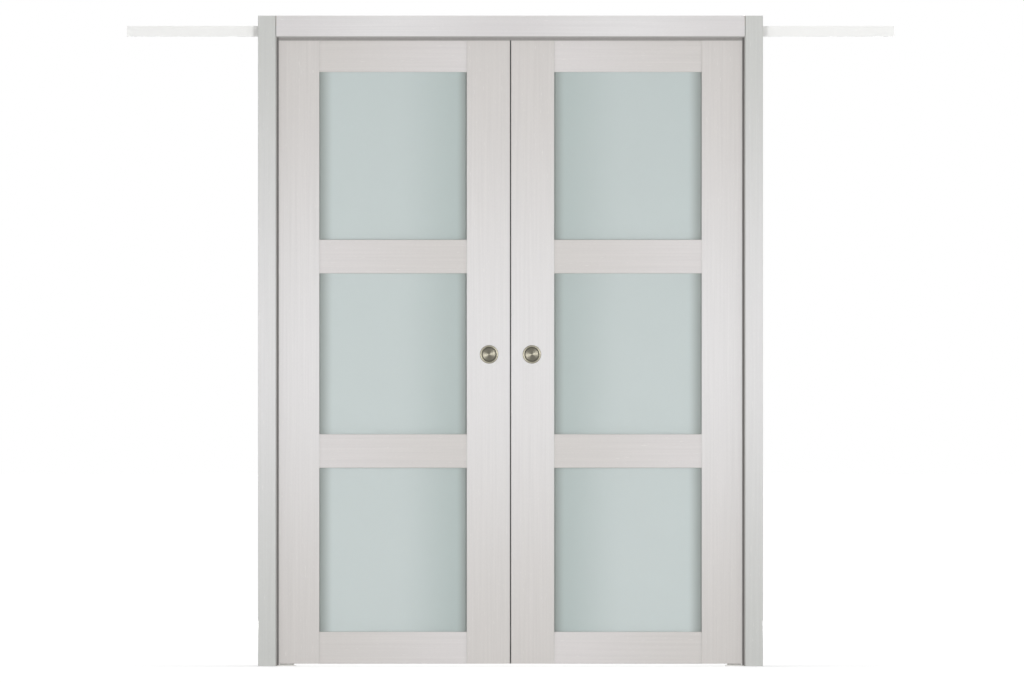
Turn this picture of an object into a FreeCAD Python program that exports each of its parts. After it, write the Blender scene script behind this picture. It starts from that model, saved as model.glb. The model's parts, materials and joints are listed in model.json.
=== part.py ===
# Double pocket door: two glazed leaves that hang from a track in the head and slide apart into the wall.
# Millimetres. X runs to the right, Y to the back, Z up. The origin is on the floor, mid-doorway.
import FreeCAD, Part
import os

import Sketcher
from FreeCAD import Placement, Rotation, Vector

DIMENSIONS = [
    # Leaf
    ("leaf_width", 762),
    ("leaf_height", 2032),
    ("leaf_thick", 40),
    ("stile_width", 141),
    ("end_rail_width", 104),
    ("mid_rail_width", 110),
    ("lower_rail_centre", 693),
    ("upper_rail_centre", 1327),
    ("rail_setback", 1.5),
    ("edge_round", 2),
    ("meeting_gap", 3.5),
    ("floor_gap", 8),
    # Joinery of the leaf
    ("groove_depth", 11),
    ("groove_width", 8),
    ("tenon_clear", 0.2),
    ("dowel_dia", 10),
    ("dowel_length", 80),
    ("dowel_spacing", 44),
    ("dowel_clear", 0.1),
    # Panes and their gaskets
    ("glass_thick", 5),
    ("glass_edge_gap", 1.5),
    ("gasket_clear", 0.1),
    ("gasket_inset", 0.5),
    # Seal on the meeting edge
    ("seal_width", 12),
    ("seal_root", 6),
    ("seal_proud", 1.6),
    ("seal_round", 1.2),
    ("seal_clear", 0.1),
    # Flush pulls
    ("pull_height", 1016),
    ("pull_inset", 68),
    ("pull_rim_dia", 60),
    ("pull_rim_proud", 1.8),
    ("pull_rim_edge", 0.8),
    ("pull_rim_bevel", 1.6),
    ("pull_body_dia", 51),
    ("pull_depth", 11),
    ("pull_wall", 1.4),
    ("pull_corner", 3),
    ("pull_seat_clear", 0.2),
    ("pull_pocket_clear", 7.5),
    # Split jambs, header and casings
    ("wall_thick", 114),
    ("jamb_thick", 18),
    ("leaf_entry", 2.25),
    ("side_clear", 6),
    ("header_thick", 33),
    ("casing_width", 57.5),
    ("casing_thick", 12),
    ("casing_reveal", 3),
    ("casing_round", 1.5),
    ("head_casing_width", 67),
    ("casing_joint", 1.6),
    ("tongue_thick", 4),
    ("tongue_length", 10),
    ("tongue_inset", 6),
    ("tongue_clear", 0.15),
    # Pile seals
    ("pile_reach", 6.25),
    ("pile_clear", 0.4),
    ("pile_root", 2),
    ("pile_lap", 1.5),
    ("pile_backing", 1.5),
    ("pile_backing_width", 10),
    ("pile_mitre_gap", 0.2),
    # Track and its stops
    ("hang_gap", 12),
    ("track_width", 40),
    ("track_height", 34),
    ("track_wall", 2.5),
    ("track_slot", 15),
    ("track_end", 9.75),
    ("track_screw_spacing", 300),
    ("arm_hole_inset", 60),
    ("arm_hole_spacing", 300),
    ("arm_hole_dia", 5),
    ("stop_length", 24),
    ("stop_height", 22),
    ("stop_gap", 0.4),
    ("stop_clear", 0.5),
    ("buffer_dia", 14),
    ("buffer_thick", 6),
    # Hangers
    ("hanger_inset", 220),
    ("wheel_dia", 26),
    ("wheel_width", 7.2),
    ("wheel_chamfer", 0.6),
    ("wheel_rim", 3.5),
    ("wheel_recess", 1.2),
    ("hub_dia", 12),
    ("wheel_lift", 0.3),
    ("wheel_side_gap", 0.3),
    ("axle_dia", 6),
    ("axle_clear", 0.05),
    ("axle_head_dia", 9),
    ("axle_head_thick", 1),
    ("carriage_length", 36),
    ("carriage_thick", 13),
    ("carriage_rise", 9),
    ("carriage_drop", 3.5),
    ("boss_dia", 11),
    ("boss_height", 1.6),
    ("bolt_dia", 8),
    ("bolt_engage", 12),
    ("bolt_head_span", 15),
    ("bolt_head_height", 5.3),
    ("nut_height", 6.5),
    ("thread_clear", 0.05),
    ("bracket_length", 90),
    ("bracket_width", 28),
    ("bracket_thick", 3),
    ("bracket_clear", 0.2),
    ("bracket_screw_spacing", 64),
    ("bolt_bore_dia", 19),
    ("bolt_bore_spare", 4),
    # Floor guides
    ("guide_groove_width", 8.4),
    ("guide_groove_depth", 22),
    ("guide_reach", 62),
    ("guide_plate_thick", 3),
    ("guide_plate_clear", 0.3),
    ("guide_fin_thick", 7),
    ("guide_fin_length", 48),
    ("guide_fin_inset", 6),
    ("guide_fin_spare", 6),
    ("guide_fin_round", 2),
    ("guide_hole_dia", 4.5),
    ("guide_hole_spacing", 28),
    # Screws
    ("frame_screw_dia", 5),
    ("frame_screw_length", 60),
    ("frame_screw_head_dia", 10),
    ("frame_screw_head_thick", 3),
    ("head_screw_spacing", 520),
    ("small_screw_dia", 4),
    ("small_screw_length", 28),
    ("small_screw_head_dia", 8),
    ("small_screw_head_thick", 2.2),
    ("screw_tip", 4),
    ("screw_clear", 0.1),
    ("screw_spare", 1),
]

X_AXIS = Vector(1, 0, 0)
Y_AXIS = Vector(0, 1, 0)
Z_AXIS = Vector(0, 0, 1)
QUARTER = 90
HALF_TURN = (Z_AXIS, 2 * QUARTER)
UPSIDE_DOWN = (X_AXIS, 2 * QUARTER)
ALONG_X = (Y_AXIS, QUARTER)
ALONG_Y = (X_AXIS, -QUARTER)
SIDES = {"left": -1, "right": 1}
FACES = {"front": -1, "back": 1}
SAME_PLACE = 1e-4

# Heights above the floor
LEAF_TOP = "(Dims.floor_gap + Dims.leaf_height)"
TRACK_BASE = f"({LEAF_TOP} + Dims.hang_gap)"
HEADER_BASE = f"({TRACK_BASE} + Dims.track_height)"
HEADER_TOP = f"({HEADER_BASE} + Dims.header_thick)"
HEAD_CASING_BASE = f"({HEADER_TOP} - Dims.head_casing_width)"
HEAD_JAMB_BASE = f"({HEAD_CASING_BASE} - Dims.casing_reveal)"
HEAD_PILE_BASE = f"({LEAF_TOP} - Dims.pile_lap)"
SIDE_PILE_BASE = "(Dims.guide_plate_thick + Dims.guide_plate_clear)"
FLANGE_TOP = f"({TRACK_BASE} + Dims.track_wall)"
AXLE_HEIGHT = f"({FLANGE_TOP} + Dims.wheel_lift + Dims.wheel_dia / 2)"
CARRIAGE_BASE = f"({TRACK_BASE} - Dims.carriage_drop)"

# Distances from the middle of the doorway, across it and through the wall
MEETING_EDGE = "(Dims.meeting_gap / 2)"
LEAF_MIDDLE = f"({MEETING_EDGE} + Dims.leaf_width / 2)"
LEAF_OUTER_EDGE = f"({MEETING_EDGE} + Dims.leaf_width)"
JAMB_FACE = f"({LEAF_OUTER_EDGE} - Dims.leaf_entry)"
JAMB_BACK = f"({JAMB_FACE} + Dims.jamb_thick)"
CASING_EDGE = f"({JAMB_FACE} + Dims.casing_reveal)"
PILE_EDGE = f"({JAMB_FACE} - Dims.pile_reach)"
WALL_FACE = "(Dims.wall_thick / 2)"
SLOT_FACE = "(Dims.leaf_thick / 2 + Dims.side_clear)"
JAMB_MIDDLE = f"(({WALL_FACE} + {SLOT_FACE}) / 2)"
PILE_DEPTH = "(Dims.side_clear - Dims.pile_clear)"

# The leaf opens until its pulls stand clear of the pile seal
PULL_EDGE = f"({MEETING_EDGE} + Dims.pull_inset + Dims.pull_rim_dia / 2)"
TRAVEL = f"({PILE_EDGE} - Dims.pull_pocket_clear - {PULL_EDGE})"
HANGER_OFFSET = "(Dims.leaf_width / 2 - Dims.hanger_inset)"
CLOSE_STOP = f"({LEAF_MIDDLE} - {HANGER_OFFSET} - Dims.carriage_length / 2 - Dims.stop_clear)"
OPEN_STOP = f"({LEAF_MIDDLE} + {HANGER_OFFSET} + {TRAVEL} + Dims.carriage_length / 2 + Dims.stop_clear)"
TRACK_HALF = f"({OPEN_STOP} + Dims.buffer_thick + Dims.stop_length + Dims.track_end)"

# Openings of the leaf, measured from its bottom edge
PANE_WIDTH = "(Dims.leaf_width - 2 * Dims.stile_width)"
PANES = {
    "bottom": ("Dims.end_rail_width", "(Dims.lower_rail_centre - Dims.mid_rail_width / 2)"),
    "middle": (
        "(Dims.lower_rail_centre + Dims.mid_rail_width / 2)",
        "(Dims.upper_rail_centre - Dims.mid_rail_width / 2)",
    ),
    "top": (
        "(Dims.upper_rail_centre + Dims.mid_rail_width / 2)",
        "(Dims.leaf_height - Dims.end_rail_width)",
    ),
}
RAIL_CENTRES = {
    "bottom": "(Dims.end_rail_width / 2)",
    "lower": "Dims.lower_rail_centre",
    "upper": "Dims.upper_rail_centre",
    "top": "(Dims.leaf_height - Dims.end_rail_width / 2)",
}
RAIL_WIDTHS = {
    "bottom": "Dims.end_rail_width",
    "lower": "Dims.mid_rail_width",
    "upper": "Dims.mid_rail_width",
    "top": "Dims.end_rail_width",
}

doc = FreeCAD.newDocument("DoublePocketDoor")
sub_parts = []


# Document helpers

def make_sheet():
    """Write the driving dimensions into the sheet, one aliased cell each."""
    sheet = doc.addObject("Spreadsheet::Sheet", "Dims")
    for row, (alias, value) in enumerate(DIMENSIONS, start=1):
        sheet.set(f"A{row}", alias)
        sheet.set(f"B{row}", str(value))
        sheet.setAlias(f"B{row}", alias)
    doc.recompute()
    return sheet


def number(expression):
    """The present value of an expression, for a sketch's first shape."""
    return float(dims.evalExpression(expression))


def place(item, x="0", y="0", z="0", turn=None):
    """Put an item at three expressions, turned by an axis and an angle."""
    if turn:
        item.Placement = Placement(Vector(), Rotation(*turn))
    for axis, expression in zip("xyz", (x, y, z)):
        item.setExpression(f".Placement.Base.{axis}", expression)
    return item


def sub_part(item, label):
    """Name a finished piece of the door."""
    item.Label = label
    sub_parts.append(item)
    return item


def group(label, items):
    """One named piece made of like solids that stay separate."""
    compound = doc.addObject("Part::Compound", "Group")
    compound.Links = items
    return sub_part(compound, label)


# Part primitives

def box(x, y, z):
    """A box from a corner and a size on each axis, all expressions."""
    item = doc.addObject("Part::Box", "Box")
    for side, (_, size) in zip(("Length", "Width", "Height"), (x, y, z)):
        item.setExpression(side, size)
    return place(item, x[0], y[0], z[0])


def middle_box(width, depth, z):
    """A box centred on X and Y, with a base and a height on Z."""
    return box((f"-({width}) / 2", width), (f"-({depth}) / 2", depth), z)


def cylinder(diameter, height, x="0", y="0", z="0", turn=None):
    item = doc.addObject("Part::Cylinder", "Cylinder")
    item.setExpression("Radius", f"({diameter}) / 2")
    item.setExpression("Height", height)
    return place(item, x, y, z, turn)


def hexagon(span, height, z):
    """A six-sided prism, measured across its corners."""
    item = doc.addObject("Part::Prism", "Hexagon")
    item.Polygon = 6
    item.setExpression("Circumradius", f"({span}) / 2")
    item.setExpression("Height", height)
    return place(item, z=z)


def fuse(items):
    item = doc.addObject("Part::MultiFuse", "Fuse")
    item.Shapes = items
    return item


def cut(base, tools):
    item = doc.addObject("Part::Cut", "Cut")
    item.Base = base
    item.Tool = tools[0] if len(tools) == 1 else fuse(tools)
    return item


# Bodies, sketches and features

def new_body():
    return doc.addObject("PartDesign::Body", "Body")


def origin_plane(body, role):
    return next(item for item in body.Origin.OriginFeatures if item.Role == role)


def new_sketch(body, role, offset="0"):
    """A sketch on one of the body's own planes, moved along the plane's normal."""
    sketch = body.newObject("Sketcher::SketchObject", "Sketch")
    sketch.AttachmentSupport = [(origin_plane(body, role), "")]
    sketch.MapMode = "FlatFace"
    sketch.setExpression("AttachmentOffset.Base.z", offset)
    return sketch


def bind(sketch, constraint, expression):
    index = sketch.addConstraint(constraint)
    sketch.setExpression(f"Constraints[{index}]", expression)


def lock(sketch, geometry, point, x, y):
    """Hold a sketch point at two expressions."""
    bind(sketch, Sketcher.Constraint("DistanceX", geometry, point, number(x)), x)
    bind(sketch, Sketcher.Constraint("DistanceY", geometry, point, number(y)), y)


def outline(sketch, points):
    """A closed outline of straight lines through points given as expressions."""
    corners = [Vector(number(x), number(y), 0) for x, y in points]
    ends = corners[1:] + corners[:1]
    lines = [sketch.addGeometry(Part.LineSegment(start, end)) for start, end in zip(corners, ends)]
    for line, following in zip(lines, lines[1:] + lines[:1]):
        sketch.addConstraint(Sketcher.Constraint("Coincident", line, 2, following, 1))
    for line, (x, y) in zip(lines, points):
        lock(sketch, line, 1, x, y)


def rectangle(sketch, x0, x1, y0, y1):
    outline(sketch, [(x0, y0), (x1, y0), (x1, y1), (x0, y1)])


def strip(sketch, width, y0, y1):
    """A rectangle centred on the sketch's first axis."""
    rectangle(sketch, f"-({width}) / 2", f"({width}) / 2", y0, y1)


def circles(sketch, diameter, centres):
    for x, y in centres:
        start = Part.Circle(Vector(number(x), number(y), 0), Z_AXIS, number(diameter) / 2)
        circle = sketch.addGeometry(start)
        lock(sketch, circle, 3, x, y)
        bind(sketch, Sketcher.Constraint("Diameter", circle, number(diameter)), diameter)


def pad(body, sketch, length, both_ways=False):
    feature = body.newObject("PartDesign::Pad", "Pad")
    feature.Profile = sketch
    feature.SideType = "Symmetric" if both_ways else "One side"
    feature.setExpression("Length", length)
    return feature


def pocket(body, sketch, depth=None):
    """Cut a sketch into the body: to a depth against the sketch's normal, or right through both ways."""
    feature = body.newObject("PartDesign::Pocket", "Pocket")
    feature.Profile = sketch
    if depth:
        feature.setExpression("Length", depth)
    else:
        feature.SideType = "Symmetric"
        feature.Type = "ThroughAll"
    return feature


def mirror(body, feature, role):
    """Repeat a feature on the other side of one of the body's planes."""
    doc.recompute([feature])
    mirrored = body.newObject("PartDesign::Mirrored", "Mirrored")
    mirrored.Originals = [feature]
    mirrored.MirrorPlane = (origin_plane(body, role), [""])
    body.Tip = mirrored


def revolve(body, sketch):
    """Turn a sketch on the XZ plane about the body's Z axis."""
    feature = body.newObject("PartDesign::Revolution", "Revolution")
    feature.Profile = sketch
    feature.ReferenceAxis = (sketch, ["V_Axis"])
    feature.Angle = 360
    return feature


def round_edges(body, feature, radius, chosen):
    """Round the edges of a feature that the test picks."""
    doc.recompute([feature])
    names = [f"Edge{index}" for index, edge in enumerate(feature.Shape.Edges, start=1) if chosen(edge)]
    fillet = body.newObject("PartDesign::Fillet", "Fillet")
    fillet.Base = (feature, names)
    fillet.setExpression("Radius", radius)
    return fillet


def runs_along(axis):
    """A test for straight edges that lie along an axis."""
    def test(edge):
        direction = edge.tangentAt(edge.FirstParameter)
        return edge.Curve.TypeId == "Part::GeomLine" and direction.cross(axis).Length < SAME_PLACE
    return test


def ring_at(radius, height):
    """A test for round edges of one radius at one height."""
    def test(edge):
        if edge.Curve.TypeId != "Part::GeomCircle":
            return False
        same_radius = abs(edge.Curve.Radius - number(radius)) < SAME_PLACE
        return same_radius and abs(edge.Curve.Center.z - number(height)) < SAME_PLACE
    return test


# Leaf: stiles, rails and joinery

def stile(meets):
    """A stile from its free edge at X = 0 to the panes' edge; the meeting stile takes pulls."""
    body = new_body()
    section = new_sketch(body, "XY_Plane")
    rectangle(section, "0", "Dims.stile_width", "-Dims.leaf_thick / 2", "Dims.leaf_thick / 2")
    stock = pad(body, section, "Dims.leaf_height")
    round_edges(body, stock, "Dims.edge_round", runs_along(Z_AXIS))

    groove = new_sketch(body, "XY_Plane")
    rectangle(
        groove, "Dims.stile_width - Dims.groove_depth", "Dims.stile_width",
        "-Dims.groove_width / 2", "Dims.groove_width / 2",
    )
    pocket(body, groove)

    dowel_holes = new_sketch(body, "YZ_Plane", "Dims.stile_width")
    circles(dowel_holes, "Dims.dowel_dia + 2 * Dims.dowel_clear", dowel_centres())
    pocket(body, dowel_holes, "Dims.dowel_length / 2 + Dims.dowel_clear")

    guide_groove = new_sketch(body, "YZ_Plane")
    strip(guide_groove, "Dims.guide_groove_width", "0", "Dims.guide_groove_depth")
    pocket(body, guide_groove)

    if meets:
        seal_groove = new_sketch(body, "XY_Plane")
        seal_half = "(Dims.seal_width / 2 + Dims.seal_clear)"
        rectangle(seal_groove, "0", "Dims.seal_root", f"-{seal_half}", seal_half)
        pocket(body, seal_groove)

        pull_seat = new_sketch(body, "XZ_Plane", "Dims.leaf_thick / 2")
        centre = ("Dims.pull_inset", "Dims.pull_height - Dims.floor_gap")
        circles(pull_seat, "Dims.pull_body_dia + 2 * Dims.pull_seat_clear", [centre])
        seat = pocket(body, pull_seat, "Dims.pull_depth + Dims.pull_seat_clear")
        mirror(body, seat, "XZ_Plane")
    return body


def dowel_centres():
    """Where the dowels cross a stile's edge: two to each rail, in the middle of the thickness."""
    return [
        ("0", f"{centre} {sign} Dims.dowel_spacing / 2")
        for centre in RAIL_CENTRES.values()
        for sign in "-+"
    ]


def rail(position):
    """A rail centred on X and Y with its lower edge at Z = 0, with stub tenons in the stiles' grooves."""
    width = RAIL_WIDTHS[position]
    body = new_body()
    section = new_sketch(body, "YZ_Plane")
    strip(section, "Dims.leaf_thick - 2 * Dims.rail_setback", "0", width)
    stock = pad(body, section, PANE_WIDTH, both_ways=True)
    round_edges(body, stock, "Dims.edge_round", runs_along(X_AXIS))

    tenon = new_sketch(body, "YZ_Plane")
    strip(tenon, "Dims.groove_width - 2 * Dims.tenon_clear", "0", width)
    pad(body, tenon, f"{PANE_WIDTH} + 2 * (Dims.groove_depth - Dims.tenon_clear)", both_ways=True)

    if position != "top":
        upper_groove = new_sketch(body, "YZ_Plane")
        strip(upper_groove, "Dims.groove_width", f"{width} - Dims.groove_depth", width)
        pocket(body, upper_groove)
    if position != "bottom":
        lower_groove = new_sketch(body, "YZ_Plane")
        strip(lower_groove, "Dims.groove_width", "0", "Dims.groove_depth")
        pocket(body, lower_groove)
    if position == "bottom":
        guide_groove = new_sketch(body, "YZ_Plane")
        strip(guide_groove, "Dims.guide_groove_width", "0", "Dims.guide_groove_depth")
        pocket(body, guide_groove)
    if position == "top":
        seat_brackets(body, width)

    dowel_holes = new_sketch(body, "YZ_Plane", f"{PANE_WIDTH} / 2 + Dims.groove_depth")
    centres = [("0", f"{width} / 2 {sign} Dims.dowel_spacing / 2") for sign in "-+"]
    circles(dowel_holes, "Dims.dowel_dia + 2 * Dims.dowel_clear", centres)
    holes = pocket(body, dowel_holes, "Dims.groove_depth + Dims.dowel_length / 2 + Dims.dowel_clear")
    mirror(body, holes, "YZ_Plane")
    return body


def seat_brackets(body, top):
    """Sink the hanger brackets, bolt heads and screws into the top rail's upper edge."""
    half_length = "(Dims.bracket_length / 2 + Dims.bracket_clear)"
    half_width = "(Dims.bracket_width / 2 + Dims.bracket_clear)"
    seats = new_sketch(body, "XY_Plane", top)
    bores = new_sketch(body, "XY_Plane", top)
    pilots = new_sketch(body, "XY_Plane", top)
    for sign in "-+":
        middle = f"{sign}{HANGER_OFFSET}"
        start = f"{middle} - {half_length}"
        end = f"{middle} + {half_length}"
        rectangle(seats, start, end, f"-{half_width}", half_width)
        circles(bores, "Dims.bolt_bore_dia", [(middle, "0")])
        ends = [(f"{middle} {way} Dims.bracket_screw_spacing / 2", "0") for way in "-+"]
        circles(pilots, "Dims.small_screw_dia + 2 * Dims.screw_clear", ends)
    pocket(body, seats, "Dims.bracket_thick")
    pocket(body, bores, "Dims.bracket_thick + Dims.bolt_head_height + Dims.bolt_bore_spare")
    pocket(body, pilots, "Dims.small_screw_length + Dims.screw_spare")


def place_in_leaf(item, side, x, z="0", turn=None):
    """Put a piece at a distance from the doorway's middle and a height above the leaf's bottom edge."""
    return place(item, x=f"{SIDES[side]} * {x}", z=f"Dims.floor_gap + {z}", turn=turn)


def make_leaf_frame(side):
    inward_turn = HALF_TURN if side == "left" else None
    outward_turn = HALF_TURN if side == "right" else None
    meeting = place_in_leaf(stile(meets=True), side, MEETING_EDGE, turn=inward_turn)
    outer = place_in_leaf(stile(meets=False), side, LEAF_OUTER_EDGE, turn=outward_turn)
    sub_part(meeting, f"meeting_stile_{side}")
    sub_part(outer, f"outer_stile_{side}")
    for position, centre in RAIL_CENTRES.items():
        base = f"({centre} - {RAIL_WIDTHS[position]} / 2)"
        placed = place_in_leaf(rail(position), side, LEAF_MIDDLE, base)
        sub_part(placed, f"{position}_rail_{side}")


def make_dowels(side):
    dowels = []
    for _, height in dowel_centres():
        for way in "-+":
            start = f"({LEAF_MIDDLE} {way} {PANE_WIDTH} / 2)"
            along_x = f"{SIDES[side]} * {start} - Dims.dowel_length / 2"
            up = f"Dims.floor_gap + {height}"
            dowels.append(cylinder("Dims.dowel_dia", "Dims.dowel_length", along_x, "0", up, ALONG_X))
    group(f"dowels_{side}", dowels)


def make_panes(side):
    """Three panes and the gasket around each, in the grooves of stiles and rails."""
    gaskets = []
    glass_reach = "(Dims.groove_depth - Dims.glass_edge_gap)"
    seat_reach = "(Dims.groove_depth - Dims.gasket_clear)"
    slot_reach = f"({glass_reach} + Dims.gasket_clear)"
    slot_depth = "(Dims.glass_thick + 2 * Dims.gasket_clear)"
    seat_depth = "(Dims.groove_width - 2 * Dims.gasket_clear)"

    def sheet_around(position, reach, depth):
        """A flat box over a pane's opening, larger by a reach all round."""
        base, top = PANES[position]
        width = f"({PANE_WIDTH} + 2 * {reach})"
        return box(
            (f"{SIDES[side]} * {LEAF_MIDDLE} - {width} / 2", width),
            (f"-{depth} / 2", depth),
            (f"Dims.floor_gap + {base} - {reach}", f"({top} - {base} + 2 * {reach})"),
        )

    for position in PANES:
        sub_part(sheet_around(position, glass_reach, "Dims.glass_thick"), f"{position}_pane_{side}")
        slot = sheet_around(position, slot_reach, slot_depth)
        window = sheet_around(position, "Dims.gasket_inset", f"(2 * {seat_depth})")
        gaskets.append(cut(sheet_around(position, seat_reach, seat_depth), [slot, window]))
    group(f"glazing_gaskets_{side}", gaskets)


def make_meeting_seal(side):
    body = new_body()
    section = new_sketch(body, "XY_Plane")
    rectangle(
        section, "-Dims.seal_proud", "Dims.seal_root - Dims.seal_clear",
        "-Dims.seal_width / 2", "Dims.seal_width / 2",
    )
    stock = pad(body, section, "Dims.leaf_height")
    proud = number("-Dims.seal_proud")
    along = runs_along(Z_AXIS)
    round_edges(
        body, stock, "Dims.seal_round",
        lambda edge: along(edge) and abs(edge.BoundBox.XMin - proud) < SAME_PLACE,
    )
    place_in_leaf(body, side, MEETING_EDGE, turn=HALF_TURN if side == "left" else None)
    sub_part(body, f"meeting_seal_{side}")


def flush_pull():
    """A round cup with a flat rim: Z = 0 is the leaf's face, and Z points out of it."""
    body = new_body()
    body_radius = "(Dims.pull_body_dia / 2)"
    rim_radius = "(Dims.pull_rim_dia / 2)"
    cup_radius = f"({body_radius} - Dims.pull_wall)"
    floor = "(Dims.pull_wall - Dims.pull_depth)"
    section = new_sketch(body, "XZ_Plane")
    outline(section, [
        ("0", "-Dims.pull_depth"),
        (body_radius, "-Dims.pull_depth"),
        (body_radius, "0"),
        (rim_radius, "0"),
        (rim_radius, "Dims.pull_rim_edge"),
        (f"{rim_radius} - Dims.pull_rim_bevel", "Dims.pull_rim_proud"),
        (cup_radius, "Dims.pull_rim_proud"),
        (cup_radius, floor),
        ("0", floor),
    ])
    cup = revolve(body, section)
    round_edges(body, cup, "Dims.pull_corner", ring_at(cup_radius, floor))
    return body


def make_pulls(side):
    pulls = []
    for face in FACES.values():
        pull = place(
            flush_pull(),
            x=f"{SIDES[side]} * ({MEETING_EDGE} + Dims.pull_inset)",
            y=f"{face} * Dims.leaf_thick / 2",
            z="Dims.pull_height",
            turn=(X_AXIS, -QUARTER * face),
        )
        pulls.append(pull)
    group(f"flush_pulls_{side}", pulls)


# Hangers: bracket, bolt, carriage, axle and wheels

def screw(diameter, length, head_diameter, head_thick):
    """A screw that points down from the underside of its head at Z = 0."""
    shank_length = f"({length} - Dims.screw_tip)"
    head = cylinder(head_diameter, head_thick)
    shank = cylinder(diameter, shank_length, z=f"-{shank_length}")
    tip = doc.addObject("Part::Cone", "Tip")
    tip.Radius1 = 0
    tip.setExpression("Radius2", f"{diameter} / 2")
    tip.setExpression("Height", "Dims.screw_tip")
    place(tip, z=f"-{length}")
    return fuse([head, shank, tip])


def small_screw():
    return screw(
        "Dims.small_screw_dia", "Dims.small_screw_length",
        "Dims.small_screw_head_dia", "Dims.small_screw_head_thick",
    )


def hanger_bracket():
    """The plate in the leaf's top edge, with its upper face at Z = 0."""
    height = ("-Dims.bracket_thick", "Dims.bracket_thick")
    plate = middle_box("Dims.bracket_length", "Dims.bracket_width", height)
    through = "2 * Dims.bracket_thick"
    below = "-1.5 * Dims.bracket_thick"
    holes = [cylinder("Dims.bolt_dia + 2 * Dims.bracket_clear", through, z=below)]
    for sign in "-+":
        at = f"{sign}Dims.bracket_screw_spacing / 2"
        holes.append(cylinder("Dims.small_screw_dia + 2 * Dims.screw_clear", through, at, "0", below))
    return cut(plate, holes)


def hanger_bolt():
    """The bolt up from under the bracket into the carriage; Z = 0 is the leaf's top edge."""
    seat = "(-Dims.bracket_thick)"
    rise = "(Dims.hang_gap - Dims.carriage_drop + Dims.bolt_engage)"
    head = hexagon("Dims.bolt_head_span", "Dims.bolt_head_height", f"{seat} - Dims.bolt_head_height")
    shank = cylinder("Dims.bolt_dia", f"{rise} - {seat}", z=seat)
    return fuse([head, shank])


def lock_nut():
    nut = hexagon("Dims.bolt_head_span", "Dims.nut_height", "0")
    bore = cylinder("Dims.bolt_dia + 2 * Dims.thread_clear", "3 * Dims.nut_height", z="-Dims.nut_height")
    return cut(nut, [bore])


def across(diameter, half_length):
    """A cylinder along Y, centred on the origin."""
    return cylinder(diameter, f"2 * {half_length}", y=f"-{half_length}", turn=ALONG_Y)


def carriage():
    """The block that hangs in the track's slot; Z = 0 is the axle."""
    below = f"({AXLE_HEIGHT} - {CARRIAGE_BASE})"
    block = middle_box(
        "Dims.carriage_length", "Dims.carriage_thick", (f"-{below}", f"({below} + Dims.carriage_rise)")
    )
    bosses = across("Dims.boss_dia", "(Dims.carriage_thick / 2 + Dims.boss_height)")
    axle_hole = across("Dims.axle_dia + 2 * Dims.thread_clear", "Dims.carriage_thick")
    bolt_hole = cylinder(
        "Dims.bolt_dia + 2 * Dims.thread_clear", "Dims.bolt_engage + Dims.thread_clear", z=f"-{below}"
    )
    return cut(fuse([block, bosses]), [axle_hole, bolt_hole])


WHEEL_INNER = "(Dims.carriage_thick / 2 + Dims.boss_height + Dims.wheel_side_gap)"
AXLE_SHOULDER = f"({WHEEL_INNER} + Dims.wheel_width + Dims.wheel_side_gap)"
AXLE_END = f"({AXLE_SHOULDER} + Dims.axle_head_thick)"


def axle():
    pin = across("Dims.axle_dia", AXLE_END)
    near = cylinder("Dims.axle_head_dia", "Dims.axle_head_thick", y=f"-{AXLE_END}", turn=ALONG_Y)
    far = cylinder("Dims.axle_head_dia", "Dims.axle_head_thick", y=AXLE_SHOULDER, turn=ALONG_Y)
    return fuse([pin, near, far])


def wheel():
    """A wheel with a recessed outer face; Z is its axis and points away from the carriage."""
    body = new_body()
    bore = "(Dims.axle_dia / 2 + Dims.axle_clear)"
    radius = "(Dims.wheel_dia / 2)"
    tread = f"({radius} - Dims.wheel_chamfer)"
    rim = f"({radius} - Dims.wheel_rim)"
    hub = "(Dims.hub_dia / 2)"
    section = new_sketch(body, "XZ_Plane")
    outline(section, [
        (bore, "0"),
        (tread, "0"),
        (radius, "Dims.wheel_chamfer"),
        (radius, "Dims.wheel_width - Dims.wheel_chamfer"),
        (tread, "Dims.wheel_width"),
        (rim, "Dims.wheel_width"),
        (rim, "Dims.wheel_width - Dims.wheel_recess"),
        (hub, "Dims.wheel_width - Dims.wheel_recess"),
        (hub, "Dims.wheel_width"),
        (bore, "Dims.wheel_width"),
    ])
    revolve(body, section)
    return body


def make_hangers(side):
    """Two hangers to a leaf: one towards the meeting edge, one towards the outer edge."""
    brackets = []
    screws = []
    bolts = []
    carriages = []
    axles = []
    for position, way in (("inner", "-"), ("outer", "+")):
        x = f"{SIDES[side]} * ({LEAF_MIDDLE} {way} {HANGER_OFFSET})"
        brackets.append(place(hanger_bracket(), x, "0", LEAF_TOP))
        for end in "-+":
            screw_x = f"{x} {end} Dims.bracket_screw_spacing / 2"
            screws.append(place(small_screw(), screw_x, "0", LEAF_TOP))
        bolts.append(place(hanger_bolt(), x, "0", LEAF_TOP))
        bolts.append(place(lock_nut(), x, "0", LEAF_TOP))
        carriages.append(place(carriage(), x, "0", AXLE_HEIGHT))
        axles.append(place(axle(), x, "0", AXLE_HEIGHT))
        wheels = [
            place(wheel(), x, f"{face} * {WHEEL_INNER}", AXLE_HEIGHT, (X_AXIS, -QUARTER * face))
            for face in FACES.values()
        ]
        group(f"{position}_wheels_{side}", wheels)
    group(f"hanger_brackets_{side}", brackets)
    group(f"bracket_screws_{side}", screws)
    group(f"hanger_bolts_{side}", bolts)
    group(f"carriages_{side}", carriages)
    group(f"axles_{side}", axles)


# Frame: jambs, header, casings and seals

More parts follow.
